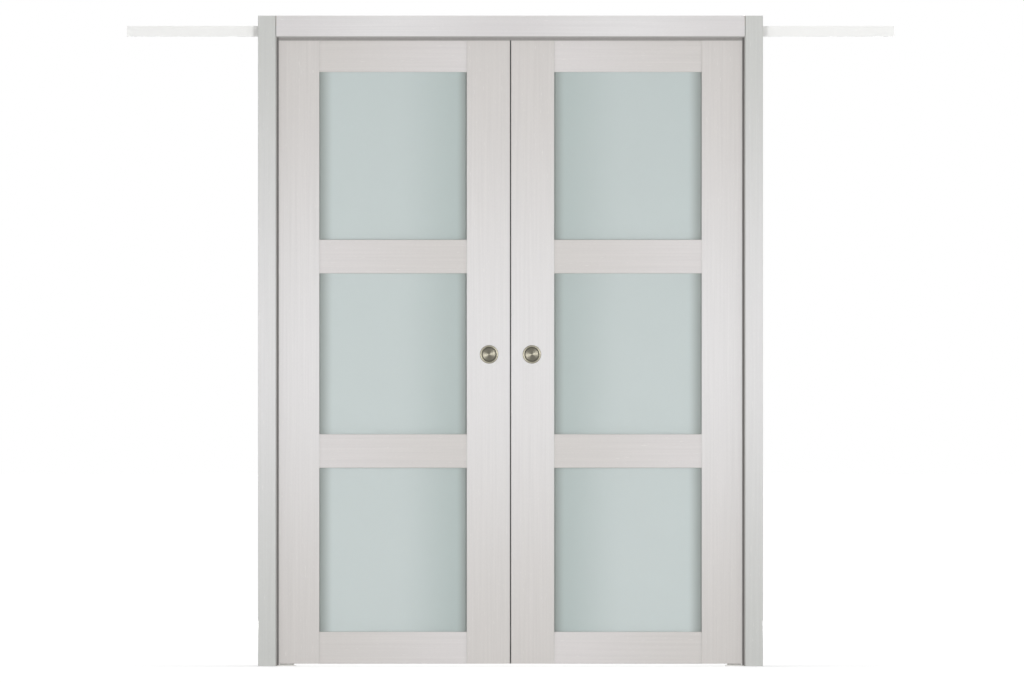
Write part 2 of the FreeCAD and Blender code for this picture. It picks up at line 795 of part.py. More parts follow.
def make_side_jamb(side, face):
    """One half of a split jamb, with the groove for the casing's tongue in its front edge."""
    out = SIDES[side]
    back = -FACES[face]
    depth = f"({WALL_FACE} - {SLOT_FACE})"
    groove_start = "(Dims.casing_reveal + Dims.tongue_inset - Dims.tongue_clear)"
    groove_end = f"({groove_start} + Dims.tongue_thick + 2 * Dims.tongue_clear)"
    groove_floor = "(Dims.tongue_length + Dims.tongue_clear)"
    corners = [
        ("0", "0"), (groove_start, "0"), (groove_start, groove_floor), (groove_end, groove_floor),
        (groove_end, "0"), ("Dims.jamb_thick", "0"), ("Dims.jamb_thick", depth), ("0", depth),
    ]
    body = new_body()
    section = new_sketch(body, "XY_Plane")
    outline(section, [(f"{out} * {x}", f"{back} * {y}") for x, y in corners])
    pad(body, section, HEADER_BASE)
    pilot = new_sketch(body, "XY_Plane", HEADER_BASE)
    middle = (f"{out} * Dims.jamb_thick / 2", f"{back} * {depth} / 2")
    circles(pilot, "Dims.frame_screw_dia + 2 * Dims.screw_clear", [middle])
    pocket(body, pilot, "Dims.frame_screw_length - Dims.header_thick + Dims.screw_spare")
    place(body, f"{out} * {JAMB_FACE}", f"{FACES[face]} * {WALL_FACE}")
    sub_part(body, f"side_jamb_{side}_{face}")


def head_screw_places():
    """Where the head jamb is screwed to the header, along the doorway."""
    return [f"{step} * Dims.head_screw_spacing" for step in (-1, 0, 1)]


def make_head_jamb(face):
    body = new_body()
    depth = f"({WALL_FACE} - {SLOT_FACE})"
    section = new_sketch(body, "YZ_Plane")
    strip(section, depth, "0", f"{HEADER_BASE} - {HEAD_JAMB_BASE}")
    pad(body, section, f"2 * {JAMB_FACE}", both_ways=True)
    pilots = new_sketch(body, "XY_Plane", f"{HEADER_BASE} - {HEAD_JAMB_BASE}")
    pilot_places = [(x, "0") for x in head_screw_places()]
    circles(pilots, "Dims.frame_screw_dia + 2 * Dims.screw_clear", pilot_places)
    pocket(body, pilots, "Dims.frame_screw_length - Dims.header_thick + Dims.screw_spare")
    place(body, y=f"{FACES[face]} * {JAMB_MIDDLE}", z=HEAD_JAMB_BASE)
    sub_part(body, f"head_jamb_{face}")


HEADER_GROOVE = "(Dims.tongue_inset - Dims.tongue_clear)"
HEADER_GROOVE_TOP = f"({HEADER_GROOVE} + Dims.tongue_thick + 2 * Dims.tongue_clear)"


def frame_screw_places():
    """Where the header is screwed down: one screw to each side jamb, three to each head jamb."""
    jambs = [f"{side} * ({JAMB_FACE} + Dims.jamb_thick / 2)" for side in SIDES.values()]
    places = jambs + head_screw_places()
    return [(x, f"{face} * {JAMB_MIDDLE}") for face in FACES.values() for x in places]


def track_screw_places():
    """Where the track is screwed to the header, along the doorway."""
    return [f"{step} * Dims.track_screw_spacing" for step in (-2, -1, 0, 1, 2)]


def make_header():
    """The board across the jambs, grooved front and back for the head casings' tongues."""
    body = new_body()
    groove_floor = f"({WALL_FACE} - Dims.tongue_length - Dims.tongue_clear)"
    right_half = [
        (WALL_FACE, "0"), (WALL_FACE, HEADER_GROOVE), (groove_floor, HEADER_GROOVE),
        (groove_floor, HEADER_GROOVE_TOP), (WALL_FACE, HEADER_GROOVE_TOP),
        (WALL_FACE, "Dims.header_thick"),
    ]
    left_half = [(f"-{y}", z) for y, z in reversed(right_half)]
    section = new_sketch(body, "YZ_Plane")
    outline(section, right_half + left_half)
    pad(body, section, f"2 * {JAMB_BACK}", both_ways=True)

    clear_holes = new_sketch(body, "XY_Plane", "Dims.header_thick")
    circles(clear_holes, "Dims.frame_screw_dia + 2 * Dims.screw_clear", frame_screw_places())
    pocket(body, clear_holes)
    head_seats = new_sketch(body, "XY_Plane", "Dims.header_thick")
    circles(head_seats, "Dims.frame_screw_head_dia + 2 * Dims.screw_clear", frame_screw_places())
    pocket(body, head_seats, "Dims.frame_screw_head_thick")
    pilots = new_sketch(body, "XY_Plane", "Dims.small_screw_length + Dims.screw_spare - Dims.track_wall")
    pilot_places = [(x, "0") for x in track_screw_places()]
    circles(pilots, "Dims.small_screw_dia + 2 * Dims.screw_clear", pilot_places)
    pocket(body, pilots, "Dims.small_screw_length + Dims.screw_spare - Dims.track_wall")
    place(body, z=HEADER_BASE)
    sub_part(body, "header_board")


def make_side_casing(side, face):
    """An upright casing board with its tongue, which reaches up to the header."""
    out = SIDES[side]
    back = -FACES[face]
    body = new_body()
    board = new_sketch(body, "XY_Plane")
    rectangle(board, "0", f"{out} * Dims.casing_width", "0", f"{-back} * Dims.casing_thick")
    stock = pad(body, board, HEADER_TOP)
    front = number(f"{-back} * Dims.casing_thick")
    along = runs_along(Z_AXIS)
    round_edges(
        body, stock, "Dims.casing_round",
        lambda edge: along(edge) and abs(edge.BoundBox.YMin - front) < SAME_PLACE,
    )
    tongue = new_sketch(body, "XY_Plane")
    rectangle(
        tongue, f"{out} * Dims.tongue_inset", f"{out} * (Dims.tongue_inset + Dims.tongue_thick)",
        "0", f"{back} * Dims.tongue_length",
    )
    pad(body, tongue, HEADER_BASE)
    place(body, f"{out} * {CASING_EDGE}", f"{FACES[face]} * {WALL_FACE}")
    sub_part(body, f"side_casing_{side}_{face}")


def make_head_casing(face):
    """The casing across the head, between the upright casings, with its tongue in the header."""
    back = -FACES[face]
    body = new_body()
    board = new_sketch(body, "YZ_Plane")
    rectangle(board, "0", f"{-back} * Dims.casing_thick", "0", "Dims.head_casing_width")
    stock = pad(body, board, f"2 * ({CASING_EDGE} - Dims.casing_joint)", both_ways=True)
    front = number(f"{-back} * Dims.casing_thick")
    along = runs_along(X_AXIS)
    round_edges(
        body, stock, "Dims.casing_round",
        lambda edge: along(edge) and abs(edge.BoundBox.YMin - front) < SAME_PLACE,
    )
    tongue = new_sketch(body, "YZ_Plane")
    tongue_base = f"({HEADER_BASE} - {HEAD_CASING_BASE} + Dims.tongue_inset)"
    tongue_top = f"({tongue_base} + Dims.tongue_thick)"
    rectangle(tongue, "0", f"{back} * Dims.tongue_length", tongue_base, tongue_top)
    pad(body, tongue, f"2 * {JAMB_FACE}", both_ways=True)
    place(body, y=f"{FACES[face]} * {WALL_FACE}", z=HEAD_CASING_BASE)
    sub_part(body, f"head_casing_{face}")


def pile_corners(reach):
    """Section of a pile seal from the jamb's slot corner: first along the jamb, then towards the leaf."""
    return [
        (f"-{reach}", "0"),
        ("Dims.pile_backing_width", "0"),
        ("Dims.pile_backing_width", "Dims.pile_backing"),
        ("Dims.pile_root", "Dims.pile_backing"),
        ("Dims.pile_root", PILE_DEPTH),
        (f"-{reach}", PILE_DEPTH),
    ]


def side_pile(side, face):
    out = SIDES[side]
    inward = -FACES[face]
    body = new_body()
    section = new_sketch(body, "XY_Plane")
    outline(section, [(f"{out} * ({x})", f"{inward} * {y}") for x, y in pile_corners("Dims.pile_reach")])
    pad(body, section, f"{HEAD_JAMB_BASE} - {SIDE_PILE_BASE}")
    return place(body, f"{out} * {JAMB_FACE}", f"{FACES[face]} * {SLOT_FACE}", SIDE_PILE_BASE)


def head_pile(face):
    inward = -FACES[face]
    reach = f"({HEAD_JAMB_BASE} - {HEAD_PILE_BASE})"
    body = new_body()
    section = new_sketch(body, "YZ_Plane")
    outline(section, [(f"{inward} * {y}", z) for z, y in pile_corners(reach)])
    pad(body, section, f"2 * ({PILE_EDGE} - Dims.pile_mitre_gap)", both_ways=True)
    return place(body, y=f"{FACES[face]} * {SLOT_FACE}", z=HEAD_JAMB_BASE)


def make_pile_seals():
    sides = [side_pile(side, face) for side in SIDES for face in FACES]
    heads = [head_pile(face) for face in FACES]
    group("pile_seals", sides + heads)


# Track, stops and floor guides

def make_track():
    """A channel that is open below; its ends run on into the wall, with two screw holes in each.

    The real track is one extrusion. Its solid is divided at the inner corners into a web, two walls
    and two flanges, so that a simulation keeps it open for the carriages.
    """
    half = "(Dims.track_width / 2)"
    slot = "(Dims.track_slot / 2)"
    flange_width = f"({half} - {slot})"
    web_base = f"({HEADER_BASE} - Dims.track_wall)"
    along = (f"-{TRACK_HALF}", f"2 * {TRACK_HALF}")

    end_hole = f"({TRACK_HALF} - Dims.arm_hole_inset)"
    inner_hole = f"({end_hole} - Dims.arm_hole_spacing)"
    arm_places = [f"{side} * {x}" for side in SIDES.values() for x in (end_hole, inner_hole)]
    through = "3 * Dims.track_wall"
    below = f"{web_base} - Dims.track_wall"
    holes = [cylinder("Dims.arm_hole_dia", through, x, "0", below) for x in arm_places]
    for x in track_screw_places():
        holes.append(cylinder("Dims.small_screw_dia + 2 * Dims.screw_clear", through, x, "0", below))
    web = box(along, (f"-{half}", "Dims.track_width"), (web_base, "Dims.track_wall"))

    strips = [cut(web, holes)]
    for face in FACES.values():
        wall_middle = f"{face} * ({half} - Dims.track_wall / 2)"
        flange_middle = f"{face} * ({slot} + {flange_width} / 2)"
        strips.append(box(
            along,
            (f"{wall_middle} - Dims.track_wall / 2", "Dims.track_wall"),
            (FLANGE_TOP, f"{web_base} - {FLANGE_TOP}"),
        ))
        strips.append(box(
            along,
            (f"{flange_middle} - {flange_width} / 2", flange_width),
            (TRACK_BASE, "Dims.track_wall"),
        ))
    group("track", strips)


def track_stop():
    """A block on the track's flanges, with a foot in the slot; Z = 0 is the track's underside."""
    body = new_body()
    half = "(Dims.track_width / 2 - Dims.track_wall - Dims.stop_gap)"
    foot = "(Dims.track_slot / 2 - Dims.stop_gap)"
    top = "(Dims.track_wall + Dims.stop_height)"
    right_half = [(foot, "0"), (foot, "Dims.track_wall"), (half, "Dims.track_wall"), (half, top)]
    left_half = [(f"-{y}", z) for y, z in reversed(right_half)]
    section = new_sketch(body, "YZ_Plane")
    outline(section, right_half + left_half)
    pad(body, section, "Dims.stop_length", both_ways=True)
    return body


def make_stops():
    """Stops that end each leaf's closing and opening, each with a buffer on the carriage's side."""
    stops = []
    buffers = []
    for side in SIDES.values():
        for face, way in ((CLOSE_STOP, "-"), (OPEN_STOP, "+")):
            block_middle = f"({face} {way} (Dims.buffer_thick + Dims.stop_length / 2))"
            buffer_middle = f"({face} {way} Dims.buffer_thick / 2)"
            buffer_start = f"{side} * {buffer_middle} - Dims.buffer_thick / 2"
            stops.append(place(track_stop(), f"{side} * {block_middle}", "0", TRACK_BASE))
            buffers.append(cylinder(
                "Dims.buffer_dia", "Dims.buffer_thick", buffer_start, "0", AXLE_HEIGHT, ALONG_X
            ))
    group("track_stops", stops)
    group("stop_buffers", buffers)


def floor_guide(side):
    """A plate between the jambs at the pocket's mouth, with a fin that stands in the leaf's groove."""
    out = SIDES[side]
    body = new_body()
    plate_half = f"({SLOT_FACE} - Dims.guide_plate_clear)"
    plate = new_sketch(body, "XY_Plane")
    rectangle(
        plate, f"{-out} * Dims.guide_reach", f"{out} * Dims.jamb_thick",
        f"-{plate_half}", plate_half,
    )
    pad(body, plate, "Dims.guide_plate_thick")
    fin = new_sketch(body, "XY_Plane")
    fin_start = "(Dims.guide_reach - Dims.guide_fin_inset)"
    fin_end = f"({fin_start} - Dims.guide_fin_length)"
    fin_half = "(Dims.guide_fin_thick / 2)"
    rectangle(fin, f"{-out} * {fin_start}", f"{-out} * {fin_end}", f"-{fin_half}", fin_half)
    stock = pad(body, fin, "Dims.floor_gap + Dims.guide_groove_depth - Dims.guide_fin_spare")
    half_thick = number(fin_half)
    along = runs_along(Z_AXIS)
    round_edges(
        body, stock, "Dims.guide_fin_round",
        lambda edge: along(edge) and abs(abs(edge.BoundBox.YMin) - half_thick) < SAME_PLACE,
    )
    holes = new_sketch(body, "XY_Plane", "Dims.guide_plate_thick")
    fin_middle = f"{-out} * ({fin_start} + {fin_end}) / 2"
    places = [(fin_middle, f"{sign}Dims.guide_hole_spacing / 2") for sign in "-+"]
    circles(holes, "Dims.guide_hole_dia", places)
    pocket(body, holes, "Dims.guide_plate_thick")
    return place(body, f"{out} * {JAMB_FACE}")


def make_screws():
    frame = [
        place(
            screw(
                "Dims.frame_screw_dia", "(Dims.frame_screw_length - Dims.frame_screw_head_thick)",
                "Dims.frame_screw_head_dia", "Dims.frame_screw_head_thick",
            ),
            x, y, f"{HEADER_TOP} - Dims.frame_screw_head_thick",
        )
        for x, y in frame_screw_places()
    ]
    group("frame_screws", frame)
    ceiling = f"{HEADER_BASE} - Dims.track_wall"
    track = [place(small_screw(), x, "0", ceiling, UPSIDE_DOWN) for x in track_screw_places()]
    group("track_screws", track)


# The door

def make_frame():
    for face in FACES:
        for side in SIDES:
            make_side_jamb(side, face)
            make_side_casing(side, face)
        make_head_jamb(face)
        make_head_casing(face)
    make_header()
    make_pile_seals()
    make_track()
    make_stops()
    group("floor_guides", [floor_guide(side) for side in SIDES])
    make_screws()


def make_leaf(side):
    make_leaf_frame(side)
    make_dowels(side)
    make_panes(side)
    make_meeting_seal(side)
    make_pulls(side)
    make_hangers(side)


def check_document():
    """Stop before anything is written if a feature failed or a shape is not sound."""
    for item in doc.Objects:
        failed = {"Invalid", "Error"} & set(item.State)
        if failed:
            raise RuntimeError(f"{item.Name} ({item.Label}) is {sorted(failed)}")
    for item in sub_parts:
        if item.Shape.isNull() or not item.Shape.isValid() or not item.Shape.Solids:
            raise RuntimeError(f"{item.Label} has no sound shape")


def write_parts():
    os.makedirs("parts", exist_ok=True)
    for item in sub_parts:
        item.Shape.exportStep(f"parts/{item.Label}.step")
        print(f"{item.Label}: {len(item.Shape.Solids)} solids, {item.Shape.Volume:.0f} mm3")


dims = make_sheet()
make_frame()
for leaf_side in SIDES:
    make_leaf(leaf_side)
doc.recompute()
check_document()
write_parts()
print(f"{len(sub_parts)} pieces, travel {number(TRAVEL):.2f} mm, track {2 * number(TRACK_HALF):.2f} mm")
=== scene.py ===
"""Double pocket door: the looks of the doorway set, built around its packed CAD frame."""

import json
import math

import bmesh
import bpy
from bpy.props import FloatProperty, FloatVectorProperty, IntProperty, PointerProperty
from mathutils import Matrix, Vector

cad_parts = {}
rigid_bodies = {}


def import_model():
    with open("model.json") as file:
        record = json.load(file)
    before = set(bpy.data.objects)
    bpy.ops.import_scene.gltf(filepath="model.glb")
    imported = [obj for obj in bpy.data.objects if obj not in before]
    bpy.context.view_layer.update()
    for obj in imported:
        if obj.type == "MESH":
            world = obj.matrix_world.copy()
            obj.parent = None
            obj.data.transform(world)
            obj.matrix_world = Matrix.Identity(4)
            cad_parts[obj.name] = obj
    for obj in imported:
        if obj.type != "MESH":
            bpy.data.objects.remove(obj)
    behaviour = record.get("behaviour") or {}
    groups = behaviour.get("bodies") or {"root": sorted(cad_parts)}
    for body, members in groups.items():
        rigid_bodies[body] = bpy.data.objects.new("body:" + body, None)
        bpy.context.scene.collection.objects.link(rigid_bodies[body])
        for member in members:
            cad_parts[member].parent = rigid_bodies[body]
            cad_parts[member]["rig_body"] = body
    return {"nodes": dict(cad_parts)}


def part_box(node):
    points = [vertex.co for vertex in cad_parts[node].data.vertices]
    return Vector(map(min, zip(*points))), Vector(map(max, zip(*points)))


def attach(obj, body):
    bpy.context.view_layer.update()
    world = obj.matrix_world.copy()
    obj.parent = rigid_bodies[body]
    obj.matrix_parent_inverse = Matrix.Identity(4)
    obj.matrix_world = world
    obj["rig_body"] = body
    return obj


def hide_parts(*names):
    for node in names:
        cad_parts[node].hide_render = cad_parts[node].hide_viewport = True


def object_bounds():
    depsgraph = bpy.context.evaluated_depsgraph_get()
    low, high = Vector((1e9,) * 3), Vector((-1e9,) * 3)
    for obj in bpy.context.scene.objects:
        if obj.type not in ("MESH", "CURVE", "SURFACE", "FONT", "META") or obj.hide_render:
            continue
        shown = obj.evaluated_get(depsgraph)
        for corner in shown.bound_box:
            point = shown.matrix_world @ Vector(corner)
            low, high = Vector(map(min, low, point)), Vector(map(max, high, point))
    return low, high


bl_info = {
    "name": "Double Pocket Door",
    "version": (1, 0, 0),
    "blender": (4, 5, 0),
    "location": "3D View > Sidebar > Pocket Door",
    "description": "Lacquer, glass, seals and hardware for a double pocket door",
    "category": "Object",
}

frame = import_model()
CAD_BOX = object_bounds()

MM = 0.001
MERGE = 1e-6
SIDES = ("left", "right")
FACES = ("front", "back")
PANES = ("bottom", "middle", "top")

# Degrees: what is flat or sharp in a CAD mesh, and which edges stay crisp when a mesh is shaded smooth
FLAT = 0.5
SHARP = 50
HARDWARE_CRISP = 35
ROUND_CRISP = 40

# Skins that two finishes share: cloudy thin plating, and smooth moulded nylon
ZINC_SKIN = {"depth": 0.01 * MM, "mottle": 0.06, "metal": 1.0}
NYLON_SKIN = {"grain": 0.8 * MM, "depth": 0.02 * MM, "mottle": 0.02}

# Places that the finishes and the turned pieces follow, read from the right leaf and the right trim
STILE_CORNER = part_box("meeting_stile_right")[1]
PULL_LOW, PULL_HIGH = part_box("flush_pulls_right")
CASING_LOW, CASING_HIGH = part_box("side_casing_right_front")
SIGHT_NEAR = STILE_CORNER.x
SIGHT_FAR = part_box("outer_stile_right")[0].x
SIGHT_MIDDLE = (SIGHT_NEAR + SIGHT_FAR) / 2
LEAF_FACE = STILE_CORNER.y
LEAF_TOP = STILE_CORNER.z


def linear(code):
    """Linear RGBA of an sRGB hex colour."""
    channels = [int(code[start:start + 2], 16) / 255 for start in (1, 3, 5)]
    flat = [c / 12.92 if c <= 0.04045 else ((c + 0.055) / 1.055) ** 2.4 for c in channels]
    return (*flat, 1.0)


def colour(name, description, code):
    """A colour setting, given as an sRGB hex colour."""
    return FloatVectorProperty(
        name=name, description=description, subtype="COLOR", size=4, min=0.0, max=1.0, default=linear(code),
    )


def number(name, description, default, **more):
    """A number setting, with a unit, a subtype or limits of its own."""
    return FloatProperty(name=name, description=description, default=default, **more)


def length(name, description, default):
    """A length setting in metres."""
    return number(name, description, default, min=0.0, unit="LENGTH", precision=5)


def count(name, description, default, least):
    """A whole number setting."""
    return IntProperty(name=name, description=description, default=default, min=least)


class VeneerFinish(bpy.types.PropertyGroup):
    """Tones and figure of the lacquered boards and the bare timber"""

    stile_dark: colour("Stile dark", "Veneer tone towards the ends of the stiles", "#cfcbc8")
    stile_light: colour("Stile light", "Veneer tone at the middle of the stiles", "#e1dfdf")
    rail_dark: colour("Rail dark", "Veneer tone at the dark end of a rail", "#cfcbc8")
    rail_light: colour("Rail light", "Veneer tone at the light end of a rail", "#d7d3d2")
    casing_dark: colour("Casing dark", "Veneer tone towards the ends of the casings", "#c5c6c3")
    casing_light: colour("Casing light", "Veneer tone at the middle of the casings", "#dddcdc")
    head_dark: colour("Head dark", "Veneer tone at the ends and the middle of the head casing", "#d5d2d2")
    head_light: colour("Head light", "Veneer tone between them", "#dedcdc")
    fleck: colour("Fleck", "Tone of the short pale flecks", "#efedea")
    # Partly painted shade: the jambs' grey darkens the thin reveal between casing and seal
    jamb: colour("Jamb", "Grey lacquer on the jambs", "#a8a6a4")
    pine: colour("Pine", "Planed pine of the header", "#d2b88a")
    beech: colour("Beech", "Beech of the dowels", "#c9a77c")
    ring_width: length("Ring width", "Width of a year's ring in bare timber", 5 * MM)
    heart_depth: length("Heart depth", "How far the heart of the tree lies under the header's top", 70 * MM)
    streak_width: length("Streak width", "Width of a streak of the grain", 7 * MM)
    streak_length: length("Streak length", "Length of a streak of the grain", 420 * MM)
    fleck_width: length("Fleck width", "Width of a pale fleck", 2.4 * MM)
    fleck_length: length("Fleck length", "Length of a pale fleck", 26 * MM)
    pore_width: length("Pore width", "Width of an open pore, drawn coarse to show", 0.5 * MM)
    pore_length: length("Pore length", "Length of an open pore", 9 * MM)
    # Painted shade: how far the darkening painted into a rail's ends, beside the stiles, reaches
    joint_shade_reach: length("Joint fade", "How far the lacquer in a joint darkens a rail", 12 * MM)
    fibre_width: length("Fibre width", "Width of a fibre of bare timber, drawn coarse to show", 0.6 * MM)
    fibre_length: length("Fibre length", "Length of a fibre of bare timber", 30 * MM)


class GlassFinish(bpy.types.PropertyGroup):
    """Tones of the frosted panes, with shade painted along their upright edges, and of their gaskets"""

    upper: colour("Upper glass", "Tone of the glass at the top of the leaf", "#c1cbca")
    lower: colour("Lower glass", "Tone of the glass at the bottom of the leaf", "#cad3d2")
    inner: colour("Inner glass", "Tone of the glass towards the meeting stile", "#b3bfbd")
    # Painted shade: a darker tone along the upright edges of each pane, where the stiles would shade the
    # glass
    painted_edge_shade: colour("Border", "Darker tone along the upright edges of a pane", "#959d9a")
    inner_edge_shade: length("Inner border", "How far the edge by the meeting stile fades into a pane", 36 * MM)
    outer_edge_shade: length("Outer border", "How far the edge by the outer stile fades into a pane", 47 * MM)
    etch_grain: length("Etch grain", "Size of the etched grain, drawn coarse to show", 0.6 * MM)
    gasket: colour("Gasket", "Rubber around the panes", "#b4bab9")


class PullForm(bpy.types.PropertyGroup):
    """Shape and finish of the flush pulls"""

    body_diameter: length("Body diameter", "Diameter of the cup behind the rim", 51 * MM)
    wall: length("Wall", "Thickness of the cup's wall and floor", 1.4 * MM)
    corner: length("Corner", "Rounding between the cup's wall and floor", 6 * MM)
    dish: length("Dish", "How far the cup's floor rises from its middle to its corner", 1 * MM)
    rim_edge: length("Rim edge", "Height of the rim's outer edge", 0.5 * MM)
    rim_round: length("Rim round", "Width of the rounding on the rim", 2.2 * MM)
    lip_round: length("Lip round", "Rounding where the rim turns into the cup", 0.8 * MM)
    brush_pitch: length("Brush pitch", "Spacing of the turned brush lines, drawn coarse to show", 0.5 * MM)
    cup: colour("Cup", "Warm satin nickel of the cup", "#6a675d")
    rim: colour("Rim", "Paler satin nickel of the rim", "#737064")
    cup_stretch: number("Cup stretch", "How far brush lines draw out the light in the cup", 0.95, max=1.0)
    rim_stretch: number("Rim stretch", "How far brush lines draw out the light on the rim", 0.6, max=1.0)
    steps: count("Steps", "Steps around a pull", 96, 12)


class SealForm(bpy.types.PropertyGroup):
    """Tufts of the pile seals and the rubber of the meeting seals"""

    ease: length("Ease", "Easing of the meeting seals' edges", 0.3 * MM)
    nose_gap: length("Nose gap", "Gap left between the two meeting seals", 0.04 * MM)
    backing: length("Backing", "Thickness of the strip that holds the pile", 1.5 * MM)
    pile_width: length("Pile width", "Width of the strip that carries tufts", 8.25 * MM)
    spacing: length("Spacing", "Distance between tufts along the strip", 2.4 * MM)
    tuft_width: length("Tuft width", "Width of a tuft at its root", 2.2 * MM)
    lean: number("Lean", "How far a tuft may lean", math.radians(9), min=0.0, subtype="ANGLE")
    rows: count("Rows", "Rows of tufts on a strip", 3, 1)
    seed: count("Seed", "Seed of the tufts' lean and size", 7, 0)
    side_pile: colour("Side pile", "Dense grey pile of the side seals", "#8d8a88")
    # Painted light: the head pile and its backing are paler copies of the side ones, lifting the head seals
    # out of the head casing's shade
    head_pile: colour("Head pile", "Paler pile of the head seals", "#b4b1af")
    side_strip: colour("Side strip", "Woven backing of the side seals", "#83807e")
    head_strip_painted_light: colour("Head strip", "Woven backing of the head seals", "#9a9795")
    rubber: colour("Rubber", "Rubber of the meeting seals", "#211f1f")


class HardwareFinish(bpy.types.PropertyGroup):
    """Finishes of the track, the hangers and the guides, and sizes of the screws and bolts"""

    ease: length("Ease", "Easing of the hardware's sharp edges", 0.35 * MM)
    thread_pitch: length("Thread pitch", "Pitch of the wood screws", 1.8 * MM)
    frame_head: length("Frame screw head", "Height of a frame screw's head", 3 * MM)
    frame_shank: length("Frame screw shank", "Radius of a frame screw's shank", 2.5 * MM)
    small_head: length("Small screw head", "Height of a track or bracket screw's head", 2.2 * MM)
    small_shank: length("Small screw shank", "Radius of a track or bracket screw's shank", 2 * MM)
    screw_tip: length("Screw tip", "Length of a screw's tip", 4 * MM)
    recess_width: length("Recess width", "Width of the cross recess in a screw head", 1.2 * MM)
    bolt_pitch: length("Bolt pitch", "Pitch of the hanger bolts", 1.25 * MM)
    bolt_shank: length("Bolt shank", "Radius of a hanger bolt's shank", 4 * MM)
    track: colour("Track", "White powder coat of the track", "#f2f2f0")
    zinc: colour("Zinc", "Bright zinc plating", "#c3c5c8")
    wheel: colour("Wheel", "Natural nylon of the wheels", "#e3e1db")
    guide: colour("Guide", "White nylon of the floor guides", "#e4e3df")
    stop: colour("Stop", "Moulded plastic of the stops", "#7c7c7d")
    buffer: colour("Buffer", "Rubber of the buffers", "#434343")


class StageSetup(bpy.types.PropertyGroup):
    """Camera, lamps and backdrop"""

    lens: number("Lens", "Focal length", 600.0, min=20.0, subtype="DISTANCE_CAMERA")
    view_width: length("View width", "Width that the picture spans at the casings", 3.334)
    eye_x: number("Eye x", "Where the eye stands across", 0.0049, unit="LENGTH")
    eye_z: number("Eye z", "Height of the eye", 1.058, unit="LENGTH")
    ambient: number("Ambient", "Light from the white surroundings", 0.32, min=0.0)
    key_power: number("Key", "Lamp to the right of each face", 248.0, unit="POWER")
    fill_power: number("Fill", "Lamp to the left of each face", 204.0, unit="POWER")
    top_power: number("Top", "Lamp above the door", 100.0, unit="POWER")
    lamp_side: length("Lamp side", "Side of each square lamp", 1.6)
    lamp_away: length("Lamp away", "How far the lamps stand from the door", 9.0)
    lamp_apart: length("Lamp apart", "How far each lamp stands to its side", 2.2)
    lamp_tilt: length("Lamp tilt", "How far the key lamps are raised and the fill lamps lowered", 0.5)
    lamp_above: length("Lamp above", "Height of the top lamp over the door's middle", 6.0)
    far_glow: number("Far glow", "White added to the floor far off", 0.8, min=0.0)
    near_glow: number("Near glow", "White added to the floor by the door", 0.5, min=0.0)
    pool_near: length("Pool near", "How far from the door the lamps light the floor in full", 2.5)
    pool_far: length("Pool far", "How far from the door the lamps light the floor no more", 8.0)
    floor: colour("Floor", "Plain pale floor", "#f6f6f6")
    floor_size: length("Floor size", "Side of the square floor", 160.0)


# Node and mesh helpers

def add(tree, kind, inputs=None, **settings):
    """Add a node with its settings, and feed its sockets from values, from sockets or from nodes.

    Only the sockets that these settings use count. A key is a socket's name, or its place where names
    repeat. A list feeds all that it holds to one socket, and a node gives its first output.
    """
    node = tree.nodes.new(kind)
    for key, value in settings.items():
        setattr(node, key, value)
    used = [socket for socket in node.inputs if socket.enabled]
    for key, value in (inputs or {}).items():
        named = (socket for socket in used if socket.name == key)
        target = used[key] if isinstance(key, int) else next(named)
        for source in value if isinstance(value, list) else [value]:
            if isinstance(source, bpy.types.Node):
                source = next(output for output in source.outputs if output.enabled)
            if isinstance(source, bpy.types.NodeSocket):
                tree.links.new(source, target)
            else:
                target.default_value = source
    return node


def new_material(name):
    """A material, made once and found again by name, and its emptied node tree."""
    material = bpy.data.materials.get(name) or bpy.data.materials.new(name)
    material.use_nodes = True
    material.node_tree.nodes.clear()
    return material, material.node_tree


def finish_nodes(material, *names):
    """Give CAD nodes a finish in place of their packed one."""
    for name in names:
        for slot in frame["nodes"][name].material_slots:
            slot.material = material


def merged_copy(name):
    """A CAD node's mesh as a mesh to edit, with its loose triangles joined."""
    shell = bmesh.new()
    shell.from_mesh(frame["nodes"][name].data)
    bmesh.ops.remove_doubles(shell, verts=shell.verts, dist=MERGE)
    return shell


def solids_of(name):
    """Lowest and highest corner of each separate solid of a CAD node, sorted by place."""
    shell = merged_copy(name)
    waiting = set(shell.verts)
    boxes = []
    while waiting:
        reached = [waiting.pop()]
        low = reached[0].co.copy()
        high = reached[0].co.copy()
        while reached:
            vertex = reached.pop()
            low = Vector(map(min, low, vertex.co))
            high = Vector(map(max, high, vertex.co))
            for edge in vertex.link_edges:
                other = edge.other_vert(vertex)
                if other in waiting:
                    waiting.remove(other)
                    reached.append(other)
        boxes.append((low, high))
    shell.free()
    return sorted(boxes, key=lambda box: tuple(box[0]))


def above_middle(box, height):
    """The point at a height over the middle of a solid's box."""
    middle = (box[0] + box[1]) / 2
    return Vector((middle.x, middle.y, height))


def mesh_of(shell, name, *materials):
    """Turn an edited mesh into a plain one with these finishes."""
    mesh = bpy.data.meshes.new(name)
    shell.to_mesh(mesh)
    shell.free()
    for material in materials:
        mesh.materials.append(material)
    return mesh


def smooth(mesh, degrees):
    """Shade a mesh smooth, with edges sharper than an angle kept crisp."""
    mesh.shade_smooth()
    mesh.set_sharp_from_angle(angle=math.radians(degrees))
    return mesh


def body_of(node):
    """Name of the body that a CAD node rides on."""
    return frame["nodes"][node]["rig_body"]


def new_object(name, data):
    """An object in the scene that holds a mesh, a lamp or a camera."""
    made = bpy.data.objects.new(name, data)
    bpy.context.scene.collection.objects.link(made)
    return made


def stand_in(mesh, name, node):
    """Put a finished mesh in place of a CAD node, on the body that the node rides on, and hide the node."""
    piece = new_object(name, mesh)
    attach(piece, body_of(node))
    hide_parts(node)


